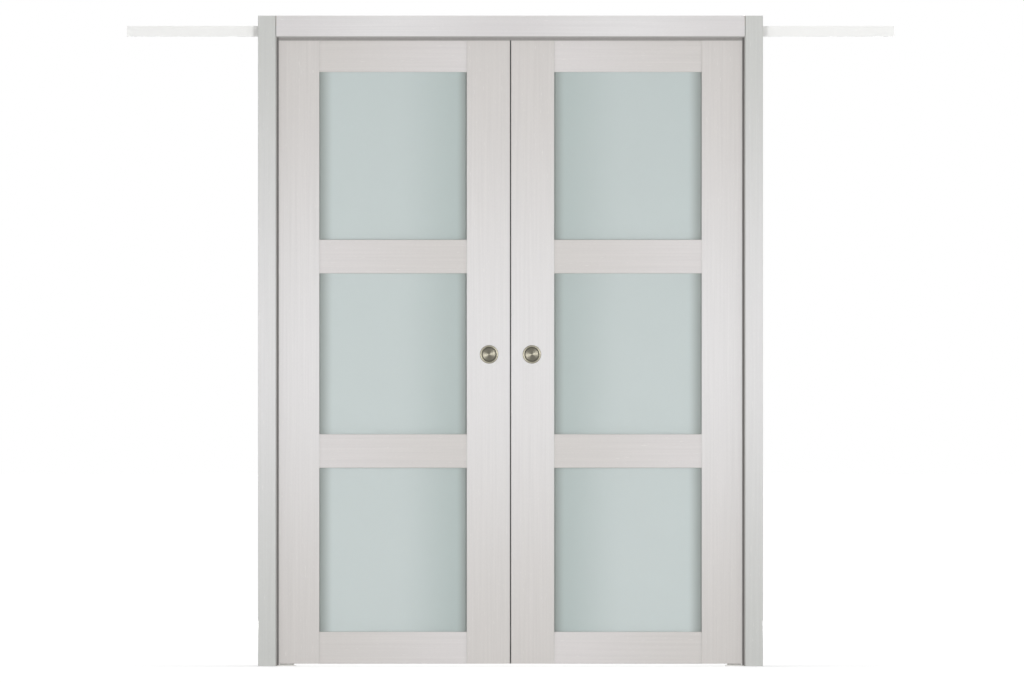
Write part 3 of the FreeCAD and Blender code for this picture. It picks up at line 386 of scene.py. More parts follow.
def eased_copy(node, ease, material):
    """A merged copy of a CAD node's mesh, with its sharp edges eased and its round faces smooth."""
    shell = merged_copy(node)
    bmesh.ops.dissolve_limit(shell, angle_limit=math.radians(FLAT), verts=shell.verts, edges=shell.edges)
    sharp = [
        edge for edge in shell.edges
        if edge.is_manifold and edge.calc_face_angle() > math.radians(SHARP)
    ]
    bmesh.ops.bevel(
        shell, geom=sharp, offset=ease, segments=2, profile=0.5, affect="EDGES", clamp_overlap=True,
    )
    return smooth(mesh_of(shell, f"{node}_eased", material), HARDWARE_CRISP)


def ease_nodes(material, slot, ease, *names):
    """Stand eased copies in for CAD nodes."""
    for name in names:
        stand_in(eased_copy(name, ease, material), f"{name}_eased", name)


def new_tree(name, sizes, counts=()):
    """A geometry node tree with named inputs for sizes and counts, and the sockets that give them."""
    tree = bpy.data.node_groups.new(name, "GeometryNodeTree")
    tree.interface.new_socket("Geometry", in_out="INPUT", socket_type="NodeSocketGeometry")
    for size in sizes:
        tree.interface.new_socket(size, in_out="INPUT", socket_type="NodeSocketFloat")
    for whole in counts:
        tree.interface.new_socket(whole, in_out="INPUT", socket_type="NodeSocketInt")
    tree.interface.new_socket("Material", in_out="INPUT", socket_type="NodeSocketMaterial")
    tree.interface.new_socket("Geometry", in_out="OUTPUT", socket_type="NodeSocketGeometry")
    return tree, tree.nodes.new("NodeGroupInput").outputs


def grow(tree, mesh, **values):
    """Run a node tree on a mesh with values for its inputs, and return what it makes as a plain mesh."""
    carrier = new_object("carrier", mesh)
    modifier = carrier.modifiers.new("grow", "NODES")
    modifier.node_group = tree
    for item in tree.interface.items_tree:
        key = item.name.lower().replace(" ", "_")
        if item.in_out == "INPUT" and key in values:
            modifier[item.identifier] = values[key]
    depsgraph = bpy.context.evaluated_depsgraph_get()
    made = bpy.data.meshes.new_from_object(carrier.evaluated_get(depsgraph), depsgraph=depsgraph)
    bpy.data.objects.remove(carrier)
    bpy.data.meshes.remove(mesh)
    if not made.polygons:
        raise RuntimeError(f"the tree {tree.name} made no faces")
    return made


def marks(spots, edges=()):
    """A mesh of bare points, each with the direction that what grows on it points to."""
    mesh = bpy.data.meshes.new("marks")
    mesh.from_pydata([spot for spot, _ in spots], list(edges), [])
    toward = mesh.attributes.new("toward", "FLOAT_VECTOR", "POINT")
    toward.data.foreach_set("vector", [value for _, direction in spots for value in direction])
    return mesh


# Finishes

def end_material(material, tone, gloss, relief, more=()):
    """End a material with a shader whose roughness and fine relief follow patterns.

    Gloss is a pattern with the roughness at its low and its high values. Relief is a pattern with its
    strength and its depth.
    """
    tree = material.node_tree
    pattern, low, high = gloss
    rough = add(tree, "ShaderNodeMapRange", {"Value": pattern, "To Min": low, "To Max": high})
    pattern, strength, depth = relief
    bump = add(tree, "ShaderNodeBump", {"Height": pattern, "Strength": strength, "Distance": depth})
    inputs = {"Base Color": tone, "Roughness": rough, "Normal": bump}
    inputs.update(more)
    shader = add(tree, "ShaderNodeBsdfPrincipled", inputs)
    add(tree, "ShaderNodeOutputMaterial", {"Surface": shader})
    return material


def lacquered_veneer(name, finish, dark, light, along, middle, reach, joints=()):
    """Sliced veneer, bleached pale and lacquered matt.

    The eye sees long soft streaks, fine darker pores, short pale flecks and a slow drift of tone along the
    board: lightest at a place along its length, and darker away from it. Painted shade darkens the ends of
    a rail, in the joints beside the stiles, where the stiles would shade it.
    """
    material, tree = new_material(name)
    place = add(tree, "ShaderNodeTexCoord").outputs["Object"]
    axes = add(tree, "ShaderNodeSeparateXYZ", {0: place})
    distance = add(tree, "ShaderNodeMath", {0: axes.outputs[along]}, operation="ABSOLUTE")

    def away_from(spot):
        """Distance along the board from a place, which is the same in both halves of the doorway."""
        offset = add(tree, "ShaderNodeMath", {0: distance, 1: spot}, operation="SUBTRACT")
        return add(tree, "ShaderNodeMath", {0: offset}, operation="ABSOLUTE")

    def figure(width, run, detail):
        """Noise drawn out along the board, with features of a width and a length."""
        scale = [1 / width] * 3
        scale["XYZ".index(along)] = 1 / run
        drawn = add(tree, "ShaderNodeMapping", {"Vector": place, "Scale": tuple(scale)})
        return add(tree, "ShaderNodeTexNoise", {
            "Vector": drawn, "Scale": 1.0, "Detail": detail, "Roughness": 0.6,
        })

    drift = add(tree, "ShaderNodeMapRange", {
        "Value": away_from(middle), "From Max": reach,
    }, interpolation_type="SMOOTHSTEP")
    tone = add(tree, "ShaderNodeMix", {"Factor": drift, "A": light, "B": dark}, data_type="RGBA")
    streak = figure(finish.streak_width, finish.streak_length, 4.0)
    shade = add(tree, "ShaderNodeMapRange", {
        "Value": streak, "From Min": 0.25, "From Max": 0.75, "To Min": 0.955, "To Max": 1.035,
    })
    pore = figure(finish.pore_width, finish.pore_length, 2.0)
    line = add(tree, "ShaderNodeMapRange", {
        "Value": pore, "From Min": 0.3, "From Max": 0.6, "To Min": 0.95, "To Max": 1.008,
    })
    grain = add(tree, "ShaderNodeMath", {0: shade, 1: line}, operation="MULTIPLY")
    # Painted shade at each end of the rail, beside the stiles
    for joint in joints:
        fade = add(tree, "ShaderNodeMapRange", {
            "Value": away_from(joint), "From Max": finish.joint_shade_reach, "To Min": 0.945, "To Max": 1.0,
        })
        grain = add(tree, "ShaderNodeMath", {0: grain, 1: fade}, operation="MULTIPLY")
    figured = add(tree, "ShaderNodeHueSaturation", {"Value": grain, "Color": tone})
    fleck = add(tree, "ShaderNodeMapRange", {
        "Value": figure(finish.fleck_width, finish.fleck_length, 1.0),
        "From Min": 0.7, "From Max": 0.8, "To Min": 0.0, "To Max": 0.35,
    })
    flecked = add(tree, "ShaderNodeMix", {
        "Factor": fleck, "A": figured, "B": finish.fleck,
    }, data_type="RGBA")
    return end_material(material, flecked, (streak, 0.42, 0.56), (pore, 0.25, 0.06 * MM))


def painted(name, tone, roughness, grain, depth, mottle=0.04, metal=0.0):
    """A coat, moulding, rubber or plating of one colour: slightly mottled, with a fine uneven skin.

    The grain of a coat is a real size. Those of rubber, plastic, pile and plating are too fine to show in
    the render, so they are drawn coarse. The mottling is ten times as wide as the grain.
    """
    spread = 0.06
    material, tree = new_material(name)
    place = add(tree, "ShaderNodeTexCoord").outputs["Object"]
    skin = add(tree, "ShaderNodeTexNoise", {"Vector": place, "Scale": 1 / grain, "Detail": 3.0})
    cloud = add(tree, "ShaderNodeTexNoise", {"Vector": place, "Scale": 0.1 / grain, "Detail": 2.0})
    shade = add(tree, "ShaderNodeMapRange", {"Value": cloud, "To Min": 1 - mottle, "To Max": 1 + mottle})
    mottled = add(tree, "ShaderNodeHueSaturation", {"Value": shade, "Color": tone})
    gloss = (skin, roughness - spread, roughness + spread)
    return end_material(material, mottled, gloss, (skin, 0.3, depth), {"Metallic": metal})


def bare_timber(name, finish, tone, heart):
    """Planed timber with no coat: fine fibre, and lines of darker late wood, wide where it was cut flat.

    The rings lie around the heart of the tree, a line along X at a height below the board.
    """
    material, tree = new_material(name)
    place = add(tree, "ShaderNodeTexCoord").outputs["Object"]
    drawn = add(tree, "ShaderNodeMapping", {
        "Vector": place, "Location": (0.0, 0.0, -heart), "Scale": (0.05, 1.0, 1.0),
    })
    # At scale 1 the rings of the wave texture are 2 pi / 20 apart
    rings = add(tree, "ShaderNodeTexWave", {
        "Vector": drawn, "Scale": 2 * math.pi / 20 / finish.ring_width, "Distortion": 2.5, "Detail": 3.0,
        "Detail Scale": 0.4,
    }, wave_type="RINGS", rings_direction="X", wave_profile="SAW").outputs["Fac"]
    shade = add(tree, "ShaderNodeMapRange", {"Value": rings, "To Min": 1.05, "To Max": 0.8})
    across = 1 / finish.fibre_width
    combed = add(tree, "ShaderNodeMapping", {
        "Vector": place, "Scale": (1 / finish.fibre_length, across, across),
    })
    fibre = add(tree, "ShaderNodeTexNoise", {"Vector": combed, "Scale": 1.0, "Detail": 3.0})
    fine = add(tree, "ShaderNodeMapRange", {"Value": fibre, "To Min": 0.86, "To Max": 1.1})
    grain = add(tree, "ShaderNodeMath", {0: shade, 1: fine}, operation="MULTIPLY")
    figured = add(tree, "ShaderNodeHueSaturation", {"Value": grain, "Color": tone})
    return end_material(material, figured, (rings, 0.72, 0.6), (rings, 0.2, 0.1 * MM))


def etched_glass(name, finish):
    """Float glass with an acid-etched face: it glows grey-green and blurs what stands behind it.

    Each pane is a little darker towards the meeting stile, and darker again along its upright edges, where
    shade from the stiles is painted in.
    """
    material, tree = new_material(name)
    place = add(tree, "ShaderNodeTexCoord").outputs["Object"]
    axes = add(tree, "ShaderNodeSeparateXYZ", {0: place})
    height = add(tree, "ShaderNodeMapRange", {"Value": axes.outputs["Z"], "From Max": LEAF_TOP})
    body = add(tree, "ShaderNodeMix", {
        "Factor": height, "A": finish.lower, "B": finish.upper,
    }, data_type="RGBA")
    across = add(tree, "ShaderNodeMath", {0: axes.outputs["X"]}, operation="ABSOLUTE")
    outward = add(tree, "ShaderNodeMapRange", {
        "Value": across, "From Min": SIGHT_NEAR, "From Max": SIGHT_MIDDLE,
    }, interpolation_type="SMOOTHSTEP")
    spread = add(tree, "ShaderNodeMix", {
        "Factor": outward, "A": finish.inner, "B": body,
    }, data_type="RGBA")
    # Painted shade: ramps that darken each pane towards both of its stiles
    near = add(tree, "ShaderNodeMapRange", {
        "Value": across, "From Min": SIGHT_NEAR, "From Max": SIGHT_NEAR + finish.inner_edge_shade,
        "To Min": 1.0, "To Max": 0.0,
    }, interpolation_type="SMOOTHSTEP")
    far = add(tree, "ShaderNodeMapRange", {
        "Value": across, "From Min": SIGHT_FAR - finish.outer_edge_shade, "From Max": SIGHT_FAR,
    }, interpolation_type="SMOOTHSTEP")
    painted_edge_shade = add(tree, "ShaderNodeMath", {0: near, 1: far}, operation="MAXIMUM")
    edge_shaded_glass = add(tree, "ShaderNodeMix", {
        "Factor": painted_edge_shade, "A": spread, "B": finish.painted_edge_shade,
    }, data_type="RGBA")
    fine = 1 / finish.etch_grain
    etch = add(tree, "ShaderNodeTexNoise", {"Vector": place, "Scale": fine, "Detail": 2.0})
    return end_material(material, edge_shaded_glass, (etch, 0.5, 0.62), (etch, 0.12, 0.05 * MM), {
        "Transmission Weight": 0.2, "IOR": 1.52,
    })


def turned_nickel(name, form, tone, stretch):
    """Satin nickel plating, brushed on the lathe: light spreads across the turned lines in two wedges."""
    strokes_around = 3.0
    material, tree = new_material(name)
    turned = add(tree, "ShaderNodeUVMap", uv_map="turned")
    axes = add(tree, "ShaderNodeSeparateXYZ", {0: turned}).outputs
    line = add(tree, "ShaderNodeMath", {0: axes["Y"], 1: 1 / form.brush_pitch}, operation="MULTIPLY")
    around = add(tree, "ShaderNodeMath", {0: axes["X"], 1: strokes_around}, operation="MULTIPLY")
    spot = add(tree, "ShaderNodeCombineXYZ", {"X": around, "Y": line})
    brush = add(tree, "ShaderNodeTexNoise", {"Vector": spot, "Scale": 1.0, "Detail": 3.0})
    shade = add(tree, "ShaderNodeMapRange", {"Value": brush, "To Min": 0.9, "To Max": 1.1})
    plated = add(tree, "ShaderNodeHueSaturation", {"Value": shade, "Color": tone})
    tangent = add(tree, "ShaderNodeTangent", direction_type="UV_MAP", uv_map="turned")
    return end_material(material, plated, (brush, 0.33, 0.42), (brush, 0.15, 0.02 * MM), {
        "Tangent": tangent, "Metallic": 1.0, "Anisotropic": stretch, "Anisotropic Rotation": 0.25,
    })


def sight_nodes(tree):
    """1 for a ray from the camera, off gloss or through glass, which sees plain white, and 0 for light."""
    path = add(tree, "ShaderNodeLightPath").outputs
    seen = add(tree, "ShaderNodeMath", {
        0: path["Is Camera Ray"], 1: path["Is Glossy Ray"],
    }, operation="MAXIMUM")
    return add(tree, "ShaderNodeMath", {0: seen, 1: path["Is Transmission Ray"]}, operation="MAXIMUM")


def pale_floor(name, stage):
    """A plain pale floor that looks white to the camera.

    Less white is added where the lamps light it, so that it stays just white there and shows the shadow.
    """
    material, tree = new_material(name)
    place = add(tree, "ShaderNodeTexCoord").outputs["Object"]
    away = add(tree, "ShaderNodeVectorMath", {0: place}, operation="LENGTH")
    added = add(tree, "ShaderNodeMapRange", {
        "Value": away, "From Min": stage.pool_near, "From Max": stage.pool_far,
        "To Min": stage.near_glow, "To Max": stage.far_glow,
    })
    glow = add(tree, "ShaderNodeMath", {0: sight_nodes(tree), 1: added}, operation="MULTIPLY")
    white = add(tree, "ShaderNodeEmission", {"Color": stage.floor, "Strength": glow})
    matt = add(tree, "ShaderNodeBsdfDiffuse", {"Color": stage.floor})
    both = add(tree, "ShaderNodeAddShader", {0: matt, 1: white})
    add(tree, "ShaderNodeOutputMaterial", {"Surface": both})
    return material


# Turned and grown pieces

def arc(centre, radii, start, end, steps=6):
    """Points of an arc in a turned section, from one angle in degrees to another."""
    angles = [math.radians(start + (end - start) * step / steps) for step in range(steps + 1)]
    return [(centre[0] + radii[0] * math.cos(a), centre[1] + radii[1] * math.sin(a)) for a in angles]


def pull_section(form):
    """Half the section of a flush pull as (radius, height above the leaf's face), from pole to pole."""
    rim = (PULL_HIGH.z - PULL_LOW.z) / 2
    proud = PULL_HIGH.y - LEAF_FACE
    front_low, front_high = solids_of("flush_pulls_right")[0]
    depth = front_high.y - front_low.y - proud
    body = form.body_diameter / 2
    cup = body - form.wall
    floor = form.wall - depth
    section = [(0.0, -depth), (body, -depth), (body, 0.0), (rim, 0.0)]
    shoulder = (rim - form.rim_round, form.rim_edge)
    section += arc(shoulder, (form.rim_round, proud - form.rim_edge), 0, 90, 8)
    lip = (cup + form.lip_round, proud - form.lip_round)
    section += arc(lip, (form.lip_round, form.lip_round), 90, 180)
    inner = cup - form.corner
    corner = (inner, floor + form.dish + form.corner)
    section += arc(corner, (form.corner, form.corner), 0, -90)
    section += [(inner * share, floor + form.dish * share**2) for share in (0.75, 0.5, 0.25, 0.1)]
    return section + [(0.0, floor)]


def turn_on_lathe(shell, section, centre, outward, steps):
    """Add a turned form to a mesh, with a UV map that runs around it and along its section.

    What lies in the leaf has the first finish, and what stands on its face the second.
    """
    uv = shell.loops.layers.uv.verify()
    rings = []
    for radius, height in section:
        ring = []
        for step in range(steps if radius else 1):
            angle = 2 * math.pi * step / steps
            across = Vector((math.cos(angle), 0, math.sin(angle))) * radius
            ring.append(shell.verts.new(centre + across + outward * height))
        rings.append(ring)
    runs = [0.0]
    for start, end in zip(section, section[1:]):
        runs.append(runs[-1] + math.dist(start, end))
    for row in range(len(rings) - 1):
        for step in range(steps):
            corners = [(row, step), (row, step + 1), (row + 1, step + 1), (row + 1, step)]
            if len(rings[row]) == 1:
                corners.pop(0)
            elif len(rings[row + 1]) == 1:
                corners.pop(2)
            face = shell.faces.new([rings[level][spot % len(rings[level])] for level, spot in corners])
            face.material_index = int(min(section[row][1], section[row + 1][1]) >= 0.0)
            for loop, (level, spot) in zip(face.loops, corners):
                loop[uv].uv = (spot / steps, runs[level])


def pointed_nodes(tree):
    """A rotation that turns Z to the direction kept on each point."""
    toward = add(tree, "GeometryNodeInputNamedAttribute", {"Name": "toward"}, data_type="FLOAT_VECTOR")
    return add(tree, "FunctionNodeAlignRotationToVector", {"Vector": toward}, axis="Z")


def end_tree(tree, given, points, shape, rotation, scale=(1.0, 1.0, 1.0)):
    """End a tree: a shape on each point, made real and given its finish."""
    placed = add(tree, "GeometryNodeInstanceOnPoints", {
        "Points": points, "Instance": shape, "Rotation": rotation, "Scale": scale,
    })
    solid = add(tree, "GeometryNodeRealizeInstances", {0: placed})
    finished = add(tree, "GeometryNodeSetMaterial", {"Geometry": solid, "Material": given["Material"]})
    add(tree, "NodeGroupOutput", {0: finished})


def tuft_tree():
    """Tufts of pile along lines: they point the way of each line's points, and lean and vary a little."""
    tip_share = 0.3
    shortest = 0.86
    longest = 0.98
    tree, given = new_tree("pile_tufts", ("Spacing", "Tuft Length", "Tuft Width", "Lean"), ("Seed",))
    line = add(tree, "GeometryNodeMeshToCurve", {0: given["Geometry"]})
    spots = add(tree, "GeometryNodeResampleCurve", {
        "Curve": line, "Length": given["Spacing"],
    }, mode="LENGTH")
    root = add(tree, "ShaderNodeMath", {0: given["Tuft Width"], 1: 0.5}, operation="MULTIPLY")
    tip = add(tree, "ShaderNodeMath", {0: given["Tuft Width"], 1: tip_share}, operation="MULTIPLY")
    tuft = add(tree, "GeometryNodeMeshCone", {
        "Vertices": 4, "Side Segments": 1, "Radius Top": tip, "Radius Bottom": root,
        "Depth": given["Tuft Length"],
    })
    lean = given["Lean"]
    back = add(tree, "ShaderNodeMath", {0: lean, 1: -1.0}, operation="MULTIPLY")
    most = add(tree, "ShaderNodeCombineXYZ", {"X": lean, "Y": lean, "Z": math.pi})
    least = add(tree, "ShaderNodeCombineXYZ", {"X": back, "Y": back, "Z": -math.pi})
    tilt = add(tree, "FunctionNodeRandomValue", {
        "Min": least, "Max": most, "Seed": given["Seed"],
    }, data_type="FLOAT_VECTOR")
    turn = add(tree, "FunctionNodeEulerToRotation", {0: tilt})
    leaning = add(tree, "FunctionNodeRotateRotation", {
        0: pointed_nodes(tree), 1: turn,
    }, rotation_space="LOCAL")
    size = add(tree, "FunctionNodeRandomValue", {"Min": shortest, "Max": longest, "Seed": given["Seed"]})
    end_tree(tree, given, spots, tuft, leaning, size)
    return tree


def hung_nodes(tree, shape, drop, turn=(0.0, 0.0, 0.0)):
    """A shape turned, and moved down by a distance."""
    down = add(tree, "ShaderNodeMath", {0: drop, 1: -1.0}, operation="MULTIPLY")
    move = add(tree, "ShaderNodeCombineXYZ", {"Z": down})
    return add(tree, "GeometryNodeTransform", {"Geometry": shape, "Translation": move, "Rotation": turn})


def thread_nodes(tree, core, ridge, pitch, run):
    """A thread's ridge along a shank that hangs down from Z = 0."""
    turns = add(tree, "ShaderNodeMath", {0: run, 1: pitch}, operation="DIVIDE")
    helix = add(tree, "GeometryNodeCurveSpiral", {
        "Resolution": 14, "Rotations": turns, "Start Radius": core, "End Radius": core, "Height": run,
    })
    crest = add(tree, "GeometryNodeCurvePrimitiveCircle", {"Resolution": 4, "Radius": ridge})
    return add(tree, "GeometryNodeCurveToMesh", {
        "Curve": hung_nodes(tree, helix, run), "Profile Curve": crest, "Fill Caps": True,
    })


def screw_tree():
    """Wood screws: a pan head with a cross recess, a threaded shank and a tip, below each point."""
    crown_share = 0.78
    recess_reach = 1.1
    recess_depth = 1.2
    core_share = 0.74
    ridge_share = 0.24
    tree, given = new_tree("wood_screws", (
        "Head Radius", "Head Height", "Shank Radius", "Shank Length", "Tip Length", "Pitch", "Recess",
    ))
    radius = given["Head Radius"]
    height = given["Head Height"]
    shank = given["Shank Radius"]
    crown = add(tree, "ShaderNodeMath", {0: radius, 1: crown_share}, operation="MULTIPLY")
    pan = add(tree, "GeometryNodeMeshCone", {
        "Vertices": 32, "Radius Top": crown, "Radius Bottom": radius, "Depth": height,
    })
    bars = []
    long_side = add(tree, "ShaderNodeMath", {0: radius, 1: recess_reach}, operation="MULTIPLY")
    deep = add(tree, "ShaderNodeMath", {0: height, 1: recess_depth}, operation="MULTIPLY")
    lift = add(tree, "ShaderNodeCombineXYZ", {"Z": height})
    for first, second in (("X", "Y"), ("Y", "X")):
        sides = add(tree, "ShaderNodeCombineXYZ", {first: long_side, second: given["Recess"], "Z": deep})
        bar = add(tree, "GeometryNodeMeshCube", {"Size": sides})
        bars.append(add(tree, "GeometryNodeTransform", {"Geometry": bar, "Translation": lift}))
    head = add(tree, "GeometryNodeMeshBoolean", {0: pan, 1: bars}, operation="DIFFERENCE")

    run = add(tree, "ShaderNodeMath", {
        0: given["Shank Length"], 1: given["Tip Length"],
    }, operation="SUBTRACT")
    core = add(tree, "ShaderNodeMath", {0: shank, 1: core_share}, operation="MULTIPLY")
    ridge = add(tree, "ShaderNodeMath", {0: shank, 1: ridge_share}, operation="MULTIPLY")
    half = add(tree, "ShaderNodeMath", {0: run, 1: 0.5}, operation="MULTIPLY")
    rod = add(tree, "GeometryNodeMeshCylinder", {"Vertices": 18, "Radius": core, "Depth": run})
    spike = add(tree, "GeometryNodeMeshCone", {
        "Vertices": 18, "Radius Top": 0.0, "Radius Bottom": core, "Depth": given["Tip Length"],
    })
    tip = hung_nodes(tree, spike, run, (math.pi, 0.0, 0.0))
    thread = thread_nodes(tree, core, ridge, given["Pitch"], run)
    parts = [head, hung_nodes(tree, rod, half), tip, thread]
    screw = add(tree, "GeometryNodeJoinGeometry", {0: parts})
    end_tree(tree, given, given["Geometry"], screw, pointed_nodes(tree))
    return tree


def bolt_tree():
    """Hanger bolts: hexagon head, threaded shank and lock nut, below the point at the shank's end."""
    core_share = 0.86
    ridge_share = 0.13
    tree, given = new_tree("hanger_bolts", (
        "Span", "Head Height", "Shank Radius", "Shank Length", "Nut Height", "Nut Drop", "Pitch",
    ))
    run = given["Shank Length"]
    shank = given["Shank Radius"]
    hexagon = add(tree, "ShaderNodeMath", {0: given["Span"], 1: 0.5}, operation="MULTIPLY")
    core = add(tree, "ShaderNodeMath", {0: shank, 1: core_share}, operation="MULTIPLY")
    ridge = add(tree, "ShaderNodeMath", {0: shank, 1: ridge_share}, operation="MULTIPLY")
    parts = [thread_nodes(tree, core, ridge, given["Pitch"], run)]
    rows = (
        (18, core, run, 0.0),
        (6, hexagon, given["Head Height"], run),
        (6, hexagon, given["Nut Height"], given["Nut Drop"]),
    )
    for sides, radius, tall, drop in rows:
        half = add(tree, "ShaderNodeMath", {0: tall, 1: 0.5}, operation="MULTIPLY")
        below = add(tree, "ShaderNodeMath", {0: half, 1: drop}, operation="ADD")
        block = add(tree, "GeometryNodeMeshCylinder", {
            "Vertices": sides, "Radius": radius, "Depth": tall,
        })
        parts.append(hung_nodes(tree, block, below))
    bolt = add(tree, "GeometryNodeJoinGeometry", {0: parts})
    end_tree(tree, given, given["Geometry"], bolt, pointed_nodes(tree))
    return tree


# Steps that build the stage and the door's looks

class StageOperator(bpy.types.Operator):
    """Lay the floor, hang the lamps and stand the camera at the photograph's place"""

    bl_idname = "pocketdoor.set_stage"
    bl_label = "Set Stage"

    def execute(self, context):
        stage = context.scene.pocketdoor_stage
        context.scene.view_settings.view_transform = "Standard"
        self.lay_floor(stage)
        self.light_surroundings(context, stage)
        for face, toward in zip(FACES, (-1.0, 1.0)):
            right = Vector((-toward * stage.lamp_apart, toward * stage.lamp_away, stage.lamp_tilt))
            left = Vector((toward * stage.lamp_apart, toward * stage.lamp_away, -stage.lamp_tilt))
            self.hang_lamp(stage, f"key_{face}", right, stage.key_power)
            self.hang_lamp(stage, f"fill_{face}", left, stage.fill_power)
        self.hang_lamp(stage, "top", Vector((0.0, 0.0, stage.lamp_above)), stage.top_power)
        self.stand_camera(context, stage)
        return {"FINISHED"}

    def lay_floor(self, stage):
        """A wide square under the door, which isn't part of it."""
        half = stage.floor_size / 2
        corners = [(-half, -half, 0.0), (half, -half, 0.0), (half, half, 0.0), (-half, half, 0.0)]
        mesh = bpy.data.meshes.new("floor")
        mesh.from_pydata(corners, [], [(0, 1, 2, 3)])
        mesh.materials.append(pale_floor("pale_floor", stage))
        floor = new_object("floor", mesh)

    def light_surroundings(self, context, stage):
        """White to the camera, to gloss and through glass; a softer white as light on the door."""
        world = bpy.data.worlds.new("white_surroundings")
        context.scene.world = world
        world.use_nodes = True
        tree = world.node_tree
        tree.nodes.clear()
        strength = add(tree, "ShaderNodeMapRange", {
            "Value": sight_nodes(tree), "To Min": stage.ambient, "To Max": 1.0,
        })
        white = add(tree, "ShaderNodeBackground", {"Color": (1.0, 1.0, 1.0, 1.0), "Strength": strength})
        add(tree, "ShaderNodeOutputWorld", {"Surface": white})

    def hang_lamp(self, stage, name, offset, power):
        """A square lamp, set off from the door's middle and turned towards it."""
        middle = Vector((0.0, 0.0, CAD_BOX[1].z / 2))
        lamp = bpy.data.lights.new(name, "AREA")
        lamp.shape = "SQUARE"
        lamp.size = stage.lamp_side
        lamp.energy = power
        hung = new_object(name, lamp)
        hung.location = middle + offset
        hung.rotation_euler = (-offset).to_track_quat("-Z", "Y").to_euler()

    def stand_camera(self, context, stage):
        """Straight on, far off with a long lens, as the photograph shows no narrowing."""
        data = bpy.data.cameras.new("camera")
        data.lens = stage.lens
        away = stage.view_width * data.lens / data.sensor_width
        data.clip_end = 3 * away
        camera = new_object("camera", data)
        camera.location = (stage.eye_x, CASING_LOW.y - away, stage.eye_z)
        camera.rotation_euler = (math.pi / 2, 0.0, 0.0)
        context.scene.camera = camera


class LeafOperator(bpy.types.Operator):
    """Veneer the stiles and rails of both leaves"""

    bl_idname = "pocketdoor.veneer_leaves"
    bl_label = "Veneer Leaves"

    def execute(self, context):
        finish = context.scene.pocketdoor_veneer
        half = LEAF_TOP / 2
        sight = SIGHT_FAR - SIGHT_NEAR
        # The rails' ends beside the stiles, where shade is painted in
        joints = (SIGHT_NEAR, SIGHT_FAR)
        upright = (finish, finish.stile_dark, finish.stile_light, "Z")
        level = (finish, finish.rail_dark, finish.rail_light, "X")
        stile = lacquered_veneer("stile_veneer", *upright, half, half)
        end_rail = lacquered_veneer("end_rail_veneer", *level, SIGHT_NEAR, sight, joints)
        middle_rail = lacquered_veneer("middle_rail_veneer", *level, SIGHT_FAR, sight, joints)
        dowel = bare_timber("beech_dowel", finish, finish.beech, 0.0)
        for side in SIDES:
            finish_nodes(stile, f"meeting_stile_{side}", f"outer_stile_{side}")
            finish_nodes(end_rail, f"bottom_rail_{side}", f"top_rail_{side}")
            finish_nodes(middle_rail, f"lower_rail_{side}", f"upper_rail_{side}")
            finish_nodes(dowel, f"dowels_{side}")
        return {"FINISHED"}


class TrimOperator(bpy.types.Operator):
    """Veneer the casings, lacquer the jambs and plane the header"""

    bl_idname = "pocketdoor.finish_trim"
    bl_label = "Finish Trim"

    def execute(self, context):
        finish = context.scene.pocketdoor_veneer
        half = CASING_HIGH.z / 2
        quarter = CASING_LOW.x / 2
        upright = (finish, finish.casing_dark, finish.casing_light, "Z")
        level = (finish, finish.head_dark, finish.head_light, "X")
        side_casing = lacquered_veneer("casing_veneer", *upright, half, half)
        head_casing = lacquered_veneer("head_casing_veneer", *level, quarter, quarter)
        # Sprayed lacquer: an even grey with a faint orange peel. The grey is partly painted shade: it
        # darkens the thin reveal between casing and seal
        jamb = painted("grey_lacquer", finish.jamb, roughness=0.5, grain=1.5 * MM, depth=0.02 * MM)
        for face in FACES:
            finish_nodes(head_casing, f"head_casing_{face}")
            finish_nodes(jamb, f"head_jamb_{face}")
            for side in SIDES:
                finish_nodes(side_casing, f"side_casing_{side}_{face}")
                finish_nodes(jamb, f"side_jamb_{side}_{face}")
        heart = CASING_HIGH.z - finish.heart_depth
        finish_nodes(bare_timber("planed_pine", finish, finish.pine, heart), "header_board")
        return {"FINISHED"}


class GlassOperator(bpy.types.Operator):
    """Frost the panes and colour their gaskets"""

    bl_idname = "pocketdoor.glaze_leaves"
    bl_label = "Glaze Leaves"

    def execute(self, context):
        finish = context.scene.pocketdoor_glass
        glass = etched_glass("etched_glass", finish)
        # Extruded rubber: pale grey and dull, so that it hardly shows beside the glass
        rubber = painted("gasket_rubber", finish.gasket, roughness=0.7, grain=0.8 * MM, depth=0.03 * MM)
        for side in SIDES:
            finish_nodes(glass, *(f"{pane}_pane_{side}" for pane in PANES))
            finish_nodes(rubber, f"glazing_gaskets_{side}")
        return {"FINISHED"}


class PullOperator(bpy.types.Operator):
    """Turn the flush pulls on the lathe"""

    bl_idname = "pocketdoor.turn_pulls"
    bl_label = "Turn Pulls"

    def execute(self, context):
        form = context.scene.pocketdoor_pulls
        cup = turned_nickel("satin_nickel", form, form.cup, form.cup_stretch)
        rim = turned_nickel("satin_nickel_rim", form, form.rim, form.rim_stretch)
        section = pull_section(form)
        for side in SIDES:
            node = f"flush_pulls_{side}"
            shell = bmesh.new()
            for low, high in solids_of(node):
                outward = Vector((0.0, math.copysign(1.0, low.y + high.y), 0.0))
                centre = (low + high) / 2
                centre.y = outward.y * LEAF_FACE
                turn_on_lathe(shell, section, centre, outward, form.steps)
            bmesh.ops.recalc_face_normals(shell, faces=shell.faces)
            mesh = mesh_of(shell, node, cup, rim)
            mesh.uv_layers[0].name = "turned"
            stand_in(smooth(mesh, ROUND_CRISP), f"{node}_turned", node)
        return {"FINISHED"}


